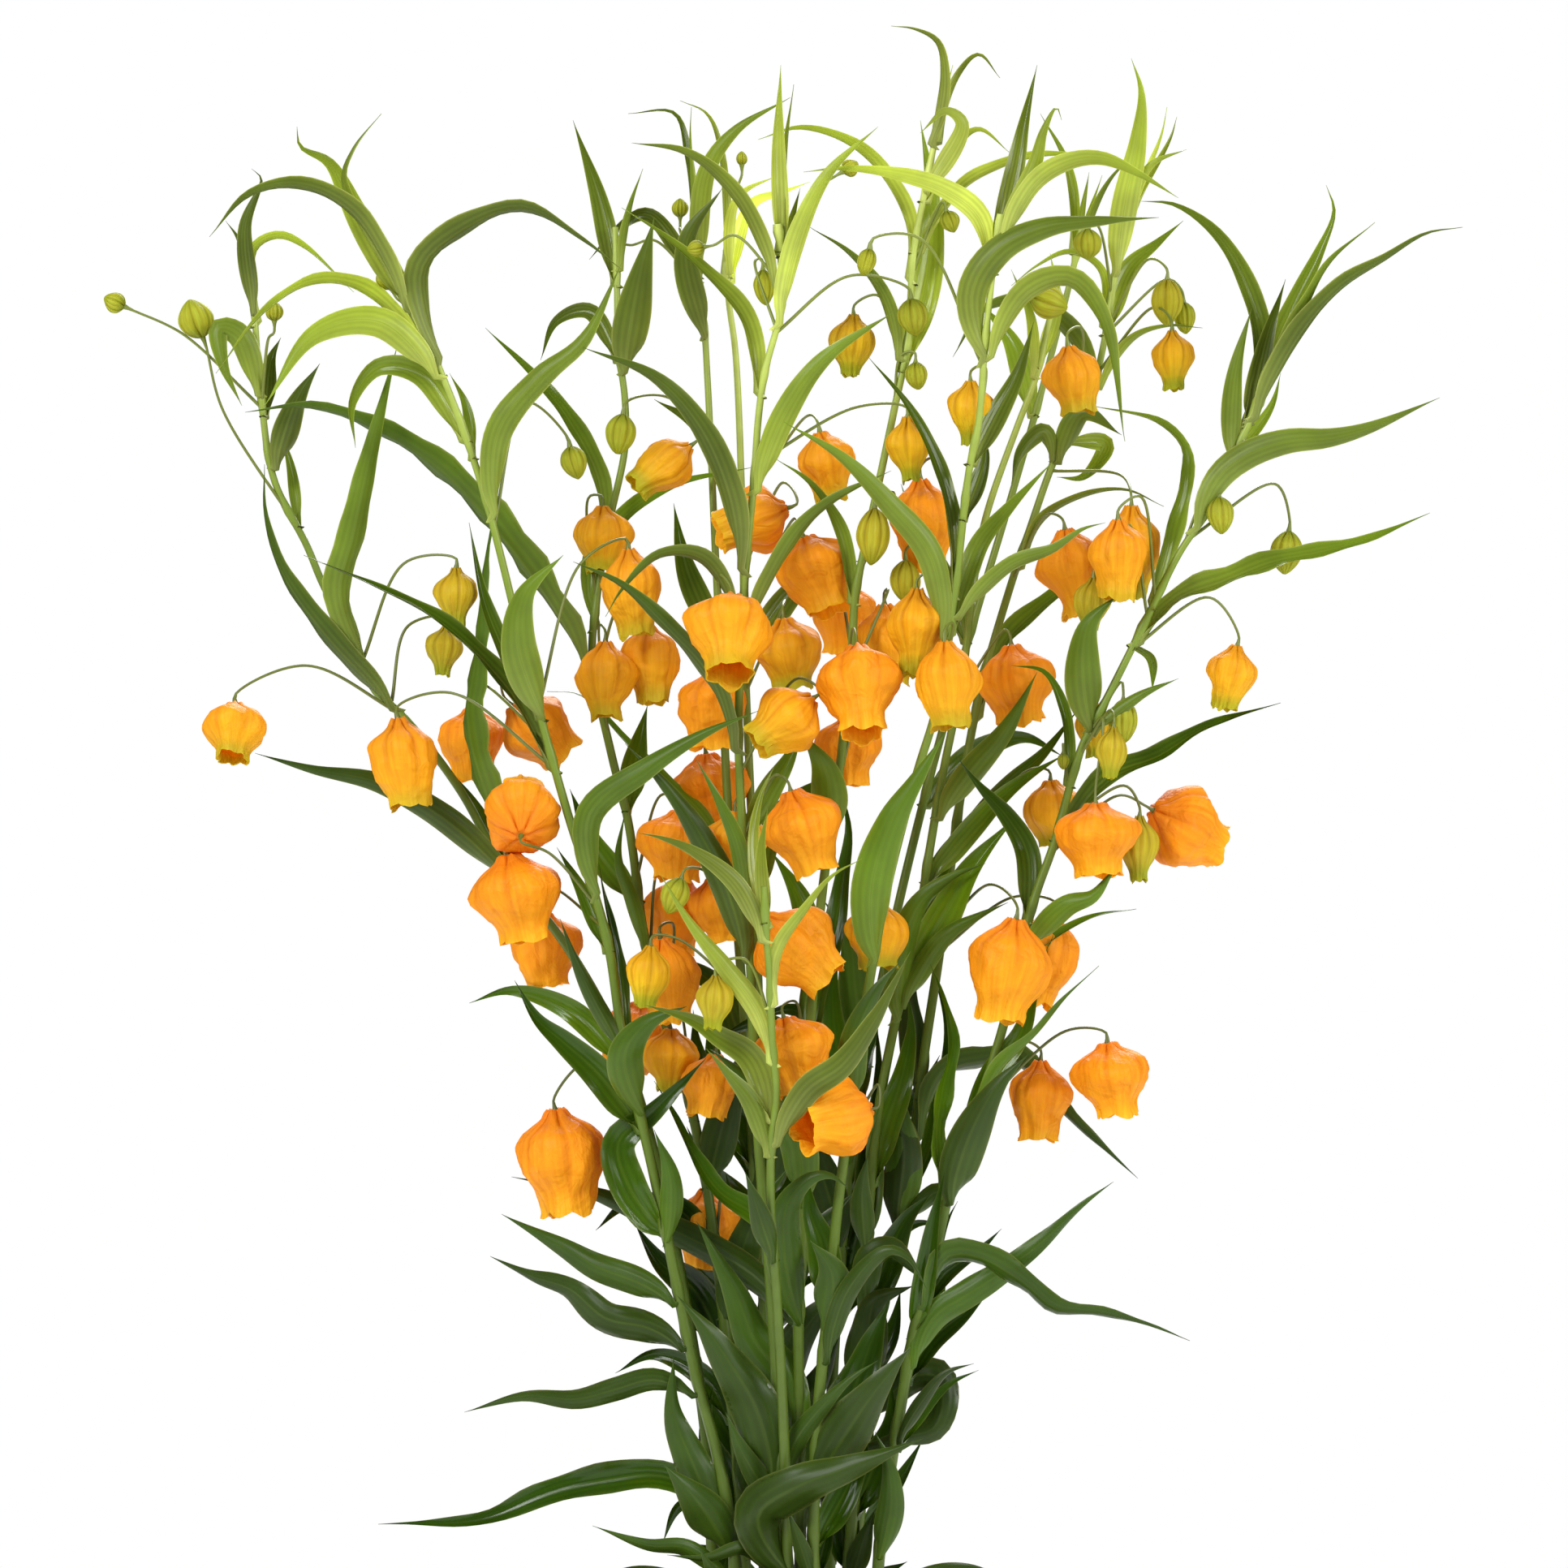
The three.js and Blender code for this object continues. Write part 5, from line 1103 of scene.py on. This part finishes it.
def add_leaf(piece, name, shoot, row, index, corners):
    seen_width, reach, base_z = row[:3]
    drawn = np.array(row[3:], float).reshape(-1, 2)
    root_z = max(base_z - ROOT_DEPTH, LOWEST_ROOT_Z)
    root_x, root_depth = on_stem(shoot, root_z)
    tip_depth = depth_of(corners, *drawn[-1])
    flat = np.vstack([[root_x, root_z], drawn])
    length = float(np.linalg.norm(np.diff(flat, axis=0), axis=1).sum())
    flat = even_curve(flat, LEAF_ROWS)
    share = np.linspace(0, 1, LEAF_ROWS)
    depths = root_depth + (tip_depth - root_depth) * np.sin(share * math.pi / 2)
    midrib = place_drawn(flat[:, 0], flat[:, 1], depths)

    # A blade that looks narrow for its length is turned edge on. It twists towards the tip, and at the foot
    # its upper face turns to the stem, to clasp it.
    width = min(max(seen_width, WIDTH_PER_LENGTH * length + 1), WIDEST_PER_SEEN * seen_width)
    turned = math.acos(min(1, seen_width / width)) + (TWIST if index % 2 else -TWIST) * (share - TWIST_FROM)
    along = unit(np.gradient(midrib, axis=0))
    side = 1 if drawn[-1][0] > root_x else -1
    facing = 1 if reach < 0 else -1
    flat_up = unit(np.column_stack([-side * along[:, 2], 0 * share, side * along[:, 0]]))
    upper = flat_up * np.sin(turned)[:, None] + np.outer(np.cos(turned), [0, facing, 0])
    out = midrib[-1] - midrib[0]
    to_stem = unit(np.array([-out[0], -out[1], 0.0]))
    clasped = np.clip(1 - share / CLASP_SHARE, 0, 1)[:, None] ** 1.5
    upper = upper * (1 - clasped) + to_stem * clasped
    upper = unit(upper - along * (upper * along).sum(axis=1)[:, None])
    sideways = np.cross(upper, along)

    # Half the width follows a lance, which stays wide where it wraps the stem and never quite ends.
    rng = random.Random(name + str(index))
    run = share * length
    half = width / 2 * np.maximum(np.sin(math.pi * share**0.6) ** 1.15, 0)
    half = np.maximum(half, CLASP_HALF_WIDTH * np.exp(-((run / CLASP_WIDTH_REACH) ** 2)))
    half = np.maximum(half, TIP_TAPER * (1 - share) + TIP_HALF_WIDTH)

    # Across, the blade is a gutter with a crease along the midrib, and its edges wave.
    curl = BLADE_CURL + CLASP_CURL * np.exp(-((run / CLASP_CURL_REACH) ** 2)) + rng.uniform(*CURL_SPREAD)
    wave = rng.uniform(*WAVE_HEIGHTS) * (1.3 - youth_at(name, base_z)) * np.clip(length / 60, 0.3, 1.3)
    beats = length / rng.uniform(*WAVE_LENGTHS)
    start = rng.uniform(0, 6.3)
    across = np.linspace(1, -1, LEAF_ACROSS)
    bend = np.outer(curl, across)
    spread = np.sin(bend) / curl[:, None]
    lift = (1 - np.cos(bend)) / curl[:, None]
    ripple = wave * np.outer(np.sin(share * beats * 2 * math.pi + start), np.sign(across) * across**2)
    ripple = ripple + 0.5 * wave * np.outer(np.cos(share * beats * 3.1 + 2 * start), across**2)
    crease = CREASE_RISE * np.abs(across) - CREASE_DROP
    raised = (lift + ripple + crease) * half[:, None]
    raised = raised + (CLASP_SHIFT * np.exp(-((run / CLASP_SHIFT_REACH) ** 2)) * (share > 0.01))[:, None]
    sheet = midrib[:, None, :] + (spread * half[:, None])[..., None] * sideways[:, None, :]
    body = LEAF_THICKNESS / 2 * (1 - 0.6 * share)[:, None] * (1 - np.abs(across) ** 3)
    top = sheet + (raised + body)[..., None] * upper[:, None, :]
    bottom = sheet + (raised - body)[..., None] * upper[:, None, :]
    piece.loft(
        np.concatenate([top, bottom[:, -2:0:-1]], axis=1),
        youth=np.clip(youth_at(name, base_z) + 0.12 * (share - 0.5), 0, 1)[:, None],
        along=share[:, None],
        across=np.concatenate([across, across[-2:0:-1]])[None, :],
        under=np.concatenate([np.zeros(LEAF_ACROSS), np.ones(LEAF_ACROSS - 2)])[None, :],
        tone=rng.uniform(-1, 1),
        half_width=half[:, None] * MM,
    )


for name, shoot in SHOOTS.items():
    corners = drawn_corners("shoot_" + name)
    leaves = Piece()
    for index, row in enumerate(shoot["leaves"]):
        add_leaf(leaves, name, shoot, row, index, corners)
    leaves.finish("leaves_" + name, leaf_green, ["shoot_" + name])

# Flower stalks
# Wiry threads about 1 mm thick that leave the stem beside a leaf and arch over, so that each lantern hangs
# free. They are olive green, and swell into a small knob where they hold the flower.
OWN_NODE = 0.72
BUD = 0.32
SEAT = 0.3
SEAM_STEP = 0.7
BUD_MARK = 1.0
LANTERN_MARK = 0.3
STALK_ROWS = 34
STALK_SIDES = 8
STALK_RADIUS = 0.56
STALK_TAPER = 0.14
STALK_HANGS = 3
STALK_IN_NECK = 0.4
KNOB = 0.55
KNOB_SHARE = 0.03
Flower = namedtuple("Flower", "base_z arch_x arch_z neck_x neck_z width length tilt nod ripeness")
Hung = namedtuple("Hung", "title own neck axis side flower")

wiry, tree = new_material("stalk_olive")
olive = add_ramp(tree, add_value(tree, "youth"), [(0, (0.060, 0.075, 0.010)), (1, (0.19, 0.23, 0.03))])
surface = add_node(
    tree,
    "ShaderNodeBsdfPrincipled",
    {"Base Color": add_mottle(tree, olive, 120.0, 0.4), "Roughness": 0.4, "Specular IOR Level": 0.45},
)
wear_surface(tree, surface)


def flower_frame(flower, index):
    """The way down a flower, and the way out to one of its seams. Each is turned on from the last."""
    tilt, nod = math.radians(flower.tilt), math.radians(flower.nod)
    axis = np.array([math.sin(tilt) * math.cos(nod), -math.sin(nod), -math.cos(tilt) * math.cos(nod)])
    right = unit(np.array([1.0, 0, 0]) - axis * axis[0])
    turn = index * SEAM_STEP
    return axis, right * math.cos(turn) + np.cross(axis, right) * math.sin(turn)


# A ripe flower is a CAD node of its own, and hangs a little off its stalk there. The depth of each flower is
# read off the CAD, at the end of a bud and at the upper part of a lantern.
hanging = {}
for name, shoot in SHOOTS.items():
    corners = drawn_corners("shoot_" + name)
    stalks = Piece()
    hanging[name] = []
    for index, row in enumerate(shoot["flowers"]):
        flower = Flower(*row)
        axis, side = flower_frame(flower, index)
        title = name + "_" + str(index + 1)
        own = flower.ripeness > OWN_NODE
        seat = SEAT if own else 0
        mark = flower.length * (BUD_MARK if flower.ripeness < BUD else LANTERN_MARK) + seat
        mark_x, mark_z = flower.neck_x + axis[0] * mark, flower.neck_z + axis[2] * mark
        seen = drawn_corners("bell_" + title) if own else corners
        depth = depth_of(seen, mark_x, mark_z) - axis[1] * mark
        neck = place_drawn(flower.neck_x, flower.neck_z, depth)
        root_z = max(flower.base_z - ROOT_DEPTH, DRAWN_FROM_Z)
        root_x, root_depth = on_stem(shoot, root_z)
        arch = place_drawn(flower.arch_x, flower.arch_z, (root_depth + depth) / 2)
        root = place_drawn(root_x, root_z, root_depth)
        line = [root, arch, neck - STALK_HANGS * axis, neck + STALK_IN_NECK * axis]
        line = even_curve(line, STALK_ROWS)
        share = np.linspace(0, 1, STALK_ROWS)
        radii = STALK_RADIUS - STALK_TAPER * np.sin(share * math.pi / 2)
        radii = radii + KNOB * np.exp(-(((1 - share) / KNOB_SHARE) ** 2))
        stalks.loft(tube(line, radii, STALK_SIDES, side), youth=youth_at(name, flower.base_z))
        hanging[name].append(Hung(title, own, neck + seat * axis, axis, side, flower))
    if stalks.count:
        stalks.finish("stalks_" + name, wiry, ["shoot_" + name])

# Lanterns and buds
# Six petals grown into one hanging lantern, papery and full of light. Fine grooves run down from the
# neck, six small horns ring it, and the mouth turns out in six points. It opens from a ribbed green bud
# and turns yellow, then orange.
PETALS = 6
PETAL_THICKNESS = 0.4
ROUND = 54
OPEN_ROWS = 32
BUD_ROWS = 22
SEAM_SPAN = 0.13
NECK_PINCH = 0.24
NECK_PINCH_AT = 0.07
NECK_PINCH_SPAN = 0.10
HORN = 0.055
HORN_AT = 0.03
HORN_SPAN = 0.018
WAISTS = (0.82, 1.08)
MOUTH_FROM = 0.78
POINT_DROPS = (0.015, 0.08)
POINT_FLARES = (-0.05, 0.14)
YOUNG_SHAPE = 0.45
RIPE_SHAPE = 0.85

# Outlines: share of the length down from the neck, and share of the greatest radius.
RIPE_OUTLINE = [
    (0, 0.13), (0.03, 0.24), (0.09, 0.42), (0.17, 0.68), (0.26, 0.89), (0.36, 0.99), (0.46, 1.0),
    (0.57, 0.93), (0.67, 0.81), (0.77, 0.68), (0.88, 0.60), (1, 0.58),
]
YOUNG_OUTLINE = [
    (0, 0.13), (0.03, 0.24), (0.09, 0.38), (0.18, 0.66), (0.29, 0.91), (0.41, 1.0), (0.52, 0.97),
    (0.63, 0.83), (0.74, 0.63), (0.84, 0.49), (0.92, 0.43), (1, 0.41),
]
BUD_OUTLINE = [
    (0, 0.14), (0.04, 0.38), (0.13, 0.68), (0.26, 0.92), (0.42, 1.04), (0.58, 1.0), (0.72, 0.84),
    (0.84, 0.6), (0.93, 0.36), (1, 0.06),
]

# A bud is lime, a young lantern yellow with a green mouth, and a ripe one orange and paler at its mouth.
petal, tree = new_material("petal_orange")
down = add_value(tree, "down")
ripe = add_value(tree, "ripe")
groove = add_value(tree, "groove")
turn_x = add_value(tree, "turn_x")
turn_y = add_value(tree, "turn_y")
orange = add_ramp(
    tree,
    down,
    [
        (0, (0.90, 0.30, 0.012)),
        (0.2, (0.96, 0.40, 0.010)),
        (0.5, (0.96, 0.44, 0.010)),
        (0.85, (0.96, 0.48, 0.012)),
        (1, (0.95, 0.56, 0.014)),
    ],
)
yellow = add_ramp(
    tree,
    down,
    [
        (0, (0.76, 0.43, 0.010)),
        (0.25, (0.90, 0.54, 0.012)),
        (0.58, (0.92, 0.63, 0.014)),
        (0.78, (0.80, 0.64, 0.016)),
        (0.92, (0.42, 0.46, 0.018)),
    ],
)
lime = add_ramp(
    tree,
    down,
    [
        (0, (0.23, 0.28, 0.016)),
        (0.3, (0.47, 0.49, 0.030)),
        (0.7, (0.54, 0.56, 0.045)),
        (1, (0.34, 0.42, 0.030)),
    ],
)
to_yellow = add_math(tree, "MULTIPLY_ADD", ripe, 4.0, -1.0, clamp=True)
to_orange = add_math(tree, "MULTIPLY_ADD", ripe, 2.2, -1.15, clamp=True)
petals = add_mix(tree, to_orange, add_mix(tree, to_yellow, lime, yellow), orange)

# Fine streaks run down the petals, each lantern's own.
threads = add_node(
    tree,
    "ShaderNodeCombineXYZ",
    {
        0: add_math(tree, "MULTIPLY", turn_x, 4.5),
        1: add_math(tree, "MULTIPLY", turn_y, 4.5),
        2: add_math(tree, "ADD", down, add_value(tree, "tone")),
    },
)
streak = add_node(tree, "ShaderNodeTexNoise", {"Vector": threads.outputs[0], "Scale": 1.9, "Detail": 5.0})
streaked = add_ramp(tree, streak.outputs["Fac"], [(0.32, (0.88, 0.74, 0.5)), (0.6, (1.0, 1.06, 1.2))])
petals = add_mix(tree, 0.7, petals, add_mix(tree, 1.0, petals, streaked, "MULTIPLY"))

# The six seam grooves and the dips between the twelve ribs of a bud are darkened with painted shade.
unopened = add_math(tree, "SUBTRACT", 1.0, ripe)
round_angle = add_math(tree, "ARCTAN2", turn_y, turn_x)
rib_wave = add_math(tree, "COSINE", add_math(tree, "MULTIPLY", round_angle, 12.0))
between_ribs = add_math(tree, "MULTIPLY", rib_wave, unopened)
painted_groove_shade = add_math(tree, "MAXIMUM", add_math(tree, "MULTIPLY", between_ribs, 0.22), 0.0)
painted_groove_shade = add_math(tree, "MULTIPLY_ADD", groove, 0.50, painted_groove_shade, clamp=True)
# Painted shade colour for the grooves: dark green on a bud, deep orange on a ripe lantern.
groove_shade_colour = add_mix(tree, ripe, (0.12, 0.16, 0.006, 1), (0.66, 0.16, 0.002, 1))
petals = add_mix(tree, painted_groove_shade, petals, groove_shade_colour)

# The points of an unripe mouth are green, and the lining is darkened to a deeper orange with painted shade.
low = add_math(tree, "MULTIPLY_ADD", down, 4.5, -3.4, clamp=True)
unripe = add_math(tree, "MULTIPLY_ADD", ripe, -3.5, 3.3, clamp=True)
green_tip = add_math(tree, "MULTIPLY", low, add_math(tree, "MULTIPLY", unripe, 0.75))
petals = add_mix(tree, green_tip, petals, (0.50, 0.52, 0.016, 1))
# Painted shade inside the lantern: its lining is mixed towards a deeper orange.
inside = add_math(tree, "MULTIPLY", add_value(tree, "inside"), 0.2)
petals = add_mix(tree, inside, petals, (0.85, 0.30, 0.006, 1))
petals = add_mottle(tree, petals, 110.0, 0.25)

# Ripe petals are crumpled like paper, with low seams and streaks, and let half the light through.
place = add_node(tree, "ShaderNodeTexCoord").outputs["Object"]
crumple = add_node(
    tree, "ShaderNodeTexNoise", {"Vector": place, "Scale": 170.0, "Detail": 3.0, "Distortion": 1.2}
)
crumpled = add_math(tree, "MULTIPLY", crumple.outputs["Fac"], add_math(tree, "MULTIPLY_ADD", ripe, 2.6, -0.2))
folds = add_math(tree, "MULTIPLY_ADD", groove, -0.6, add_math(tree, "MULTIPLY", streak.outputs["Fac"], 0.6))
folds = add_math(tree, "ADD", crumpled, folds)
folds = add_math(tree, "MULTIPLY_ADD", between_ribs, -0.35, folds)
bump = add_node(tree, "ShaderNodeBump", {"Height": folds, "Strength": 0.5, "Distance": 0.0013})
skin = add_node(
    tree,
    "ShaderNodeBsdfPrincipled",
    {
        "Base Color": petals,
        "Roughness": 0.5,
        "Specular IOR Level": 0.25,
        "Normal": bump.outputs["Normal"],
    },
)
glow = add_node(tree, "ShaderNodeBsdfTranslucent", {"Color": petals})
surface = add_node(tree, "ShaderNodeMixShader", {0: 0.45, 1: skin.outputs[0], 2: glow.outputs[0]})
wear_surface(tree, surface)


def add_lantern(piece, hung):
    neck, axis, side = hung.neck, hung.axis, hung.side
    length, ripeness = hung.flower.length, hung.flower.ripeness
    rng = random.Random("bell_" + hung.title)
    around = np.arange(ROUND) / ROUND * 2 * math.pi
    bud = ripeness < BUD
    opened = share_between(ripeness, YOUNG_SHAPE, RIPE_SHAPE)
    if bud:
        curve = np.array(BUD_OUTLINE)
    else:
        curve = np.array(RIPE_OUTLINE) * opened + np.array(YOUNG_OUTLINE) * (1 - opened)
    curve = even_curve(curve * (length, hung.flower.width / 2), BUD_ROWS if bud else OPEN_ROWS)
    down, outline = curve[:, 0] / length, curve[:, 1]

    # Six petals between seams: the seams pinch the neck into a star and fade to nothing at the mouth.
    phases = [rng.uniform(0, 2 * math.pi) for _ in range(6)]
    gathered = 1 if bud else rng.uniform(*WAISTS)
    outline = outline * (1 + (gathered - 1) * share_between(down, 0.45, 0.85))
    petal_turn = around * (PETALS / 2) / math.pi
    from_rib = np.abs(petal_turn % 1 - 0.5) * 2
    seam = np.exp(-(((1 - from_rib) / SEAM_SPAN) ** 2))
    pinch = NECK_PINCH * np.exp(-(((down - NECK_PINCH_AT) / NECK_PINCH_SPAN) ** 2))
    pinch = pinch + (0.10 if bud else 0.045) * (1 - 0.7 * down)
    radius = outline[:, None] * (1 - np.outer(pinch * np.clip(down / 0.03, 0, 1), from_rib**2.5))
    radius = radius * (1 - 0.03 * np.outer(np.clip(1 - down, 0, 1), seam))

    # No two are alike: each is pressed flat in some places and blown out in others.
    loose = 0.25 if bud else 0.55 + 0.45 * opened
    belly = np.sin(np.clip(down, 0, 1) * math.pi) ** 0.7
    radius = radius * (
        1
        + loose * 0.05 * np.outer(belly, np.cos(2 * around + phases[0]))
        + loose * 0.055 * np.outer(np.clip(down * 1.3, 0, 1), np.cos(3 * around + phases[1]))
        + loose * 0.04 * np.outer(np.sin(down * 6 + phases[2]), np.cos(4 * around + phases[3]))
        + loose * 0.025 * np.outer(np.sin(down * 9 + phases[4]), np.cos(7 * around + phases[5]))
    )

    # The mouth drops and turns out in six points, and a small horn stands over each petal at the neck.
    fall = np.zeros((len(down), ROUND))
    if not bud:
        mouth = share_between(down, MOUTH_FROM, 1)
        petal_of = np.floor(petal_turn).astype(int) % PETALS
        lobe = np.clip(1 - from_rib, 0, 1) ** 0.8
        drop = np.array([rng.uniform(*POINT_DROPS) for _ in range(PETALS)])[petal_of]
        flare = np.array([rng.uniform(*POINT_FLARES) for _ in range(PETALS)])[petal_of]
        fall += np.outer(mouth**2, drop * lobe - 0.02 + 0.02 * np.cos(2 * around + phases[1]))
        turned_out = flare * lobe * opened + 0.04 * np.cos(5 * around + phases[2])
        radius = radius * (1 + np.outer(mouth**3, turned_out))
        horn = np.exp(-(((down - HORN_AT) / HORN_SPAN) ** 2))
        fall -= HORN * np.outer(horn, (1 - from_rib) ** 1.5)
    points = neck + ((down[:, None] + fall) * length)[..., None] * axis
    points = points + (radius * np.cos(around))[..., None] * side
    points = points + (radius * np.sin(around))[..., None] * np.cross(axis, side)

    # Dents, folds and pleats crumple it, more the riper it is, and not at the neck.
    drift = Vector([rng.uniform(0, 90) for _ in range(3)])
    for share, ring in zip(down, points):
        centre = neck + share * length * axis
        for point in ring:
            dent = noise.noise(Vector(point) * 0.13 + drift) * 1.5
            fold = 0.5 - abs(noise.noise(Vector(point) * 0.20 + drift))
            arm = unit(point - centre)
            pleat = noise.noise(Vector(arm * 3.6 + axis * share * 1.3) + drift)
            pleat *= 0.35 + 1.3 * abs(share - 0.4)
            point += arm * (dent + fold * 1.1 + pleat) * loose * min(share * 5, 1)

    # An open lantern has a lining, which runs back up inside to close the thin wall.
    groove = seam * np.clip(1.0 - (0.6 if bud else 1.1) * down[:, None], 0, 1)
    inside = np.zeros(len(down))
    if not bud:
        back = np.arange(len(down) - 1, 2, -2)
        centres = (neck + (down[back] * length)[:, None] * axis)[:, None, :]
        lining = points[back] + unit(centres - points[back]) * PETAL_THICKNESS
        lining[0] -= axis * 0.15
        points = np.concatenate([points, lining])
        groove = np.concatenate([groove, np.zeros((len(back), ROUND))])
        inside = np.concatenate([inside, np.ones(len(back))])
        down = np.concatenate([down, down[back]])
    piece.loft(
        points,
        down=down[:, None],
        ripe=ripeness,
        inside=inside[:, None],
        groove=groove,
        turn_x=np.cos(around)[None, :],
        turn_y=np.sin(around)[None, :],
        tone=rng.uniform(0, 50),
    )


for name, row_of_flowers in hanging.items():
    young = Piece()
    for hung in row_of_flowers:
        if hung.own:
            lantern = Piece()
            add_lantern(lantern, hung)
            lantern.finish("lantern_" + hung.title, petal, ["bell_" + hung.title])
        else:
            add_lantern(young, hung)
    if young.count:
        young.finish("young_" + name, petal, ["shoot_" + name])

# Stamens and pistil
# Inside each open lantern six pale threads stand round a green pistil. Each thread grew from the foot of a
# petal and ends in a yellow anther that dusts whatever visits the flower.
THREAD_LEAN = 0.16
THREAD_SIDES = 6
THREAD_ROOT, THREAD_END = 0.08, 0.6
THREAD_RADII = [0.25, 0.25, 0.25, 0.25, 0.25, 0.25, 0.75, 0.8, 0.3]
PISTIL_RADII = [0.8, 1.3, 1.5, 1.3, 0.6, 0.35, 0.35, 0.45, 0.3]

inner, tree = new_material("stamen_yellow")
pollen = add_ramp(tree, add_value(tree, "down"), [(0.4, (0.55, 0.45, 0.08)), (0.8, (0.72, 0.42, 0.03))])
surface = add_node(tree, "ShaderNodeBsdfPrincipled", {"Base Color": pollen, "Roughness": 0.7})
wear_surface(tree, surface)


def add_thread(piece, hung, out, radii):
    share = np.linspace(THREAD_ROOT, THREAD_END, len(radii))[:, None]
    line = hung.neck + hung.axis * hung.flower.length * share + out * hung.flower.length * share
    piece.loft(tube(line, radii, THREAD_SIDES), down=np.linspace(0, 1, len(radii))[:, None])


for name, row_of_flowers in hanging.items():
    opened = [hung for hung in row_of_flowers if hung.own]
    hearts = Piece()
    for hung in opened:
        for k in range(PETALS):
            angle = k * 2 * math.pi / PETALS + 0.3
            out = math.cos(angle) * hung.side + math.sin(angle) * np.cross(hung.axis, hung.side)
            add_thread(hearts, hung, out * THREAD_LEAN, THREAD_RADII)
        add_thread(hearts, hung, np.zeros(3), PISTIL_RADII)
    if hearts.count:
        hearts.finish("stamens_" + name, inner, ["bell_" + hung.title for hung in opened])

# Stage
# A white room with a pale floor, lit softly from both sides and from behind, as for a catalogue. The room is
# all white to the eye, lights the plant a little less than that, and hardly shows in its gloss.
ROOM_LIGHT = 0.84
ROOM_GLOSS = 0.08
FLOOR_RADIUS = 0.9
FLOOR_SIDES = 128
PHOTO_WIDTH = 483
SENSOR_WIDTH = 36
LAMP_AIM = Vector((0, 0, 0.36))

# Lamps: place, size and power.
LAMPS = [
    ((-1.2, -1.5, 1.4), 0.7, 35),
    ((1.5, -1.0, 1.0), 0.7, 22),
    ((0.2, 1.5, 1.4), 1.0, 36),
]

world = bpy.data.worlds.new("white_room")
bpy.context.scene.world = world
world.use_nodes = True
tree = world.node_tree
tree.nodes.clear()
rays = add_node(tree, "ShaderNodeLightPath").outputs
shown, lighting, mirrored = (
    add_node(tree, "ShaderNodeBackground", {"Color": (1, 1, 1, 1), "Strength": strength}).outputs[0]
    for strength in (1.0, ROOM_LIGHT, ROOM_GLOSS)
)
room = add_node(tree, "ShaderNodeMixShader", {0: rays["Is Glossy Ray"], 1: lighting, 2: mirrored}).outputs[0]
sky = add_node(tree, "ShaderNodeMixShader", {0: rays["Is Camera Ray"], 1: room, 2: shown})
tree.links.new(sky.outputs[0], add_node(tree, "ShaderNodeOutputWorld").inputs["Surface"])

bpy.ops.object.select_all(action="DESELECT")
bpy.ops.mesh.primitive_circle_add(vertices=FLOOR_SIDES, radius=FLOOR_RADIUS, fill_type="NGON")
floor = bpy.context.object
floor.name = "floor"
paper, tree = new_material("white_floor")
surface = add_node(tree, "ShaderNodeBsdfPrincipled", {"Base Color": (0.86, 0.86, 0.86, 1), "Roughness": 0.8})
wear_surface(tree, surface)
floor.data.materials.append(paper)

for place, size, power in LAMPS:
    bpy.ops.object.light_add(type="AREA", location=place)
    lamp = bpy.context.object
    lamp.data.size = size
    lamp.data.energy = power
    lamp.rotation_euler = (LAMP_AIM - Vector(place)).to_track_quat("-Z", "Y").to_euler()

bpy.ops.object.camera_add(location=(0, -EYE_DISTANCE * MM, EYE_HEIGHT * MM), rotation=(math.pi / 2, 0, 0))
camera = bpy.context.object
camera.data.sensor_width = SENSOR_WIDTH
camera.data.lens = SENSOR_WIDTH * EYE_DISTANCE / PHOTO_WIDTH
bpy.context.scene.camera = camera
bpy.context.scene.view_settings.view_transform = "Standard"
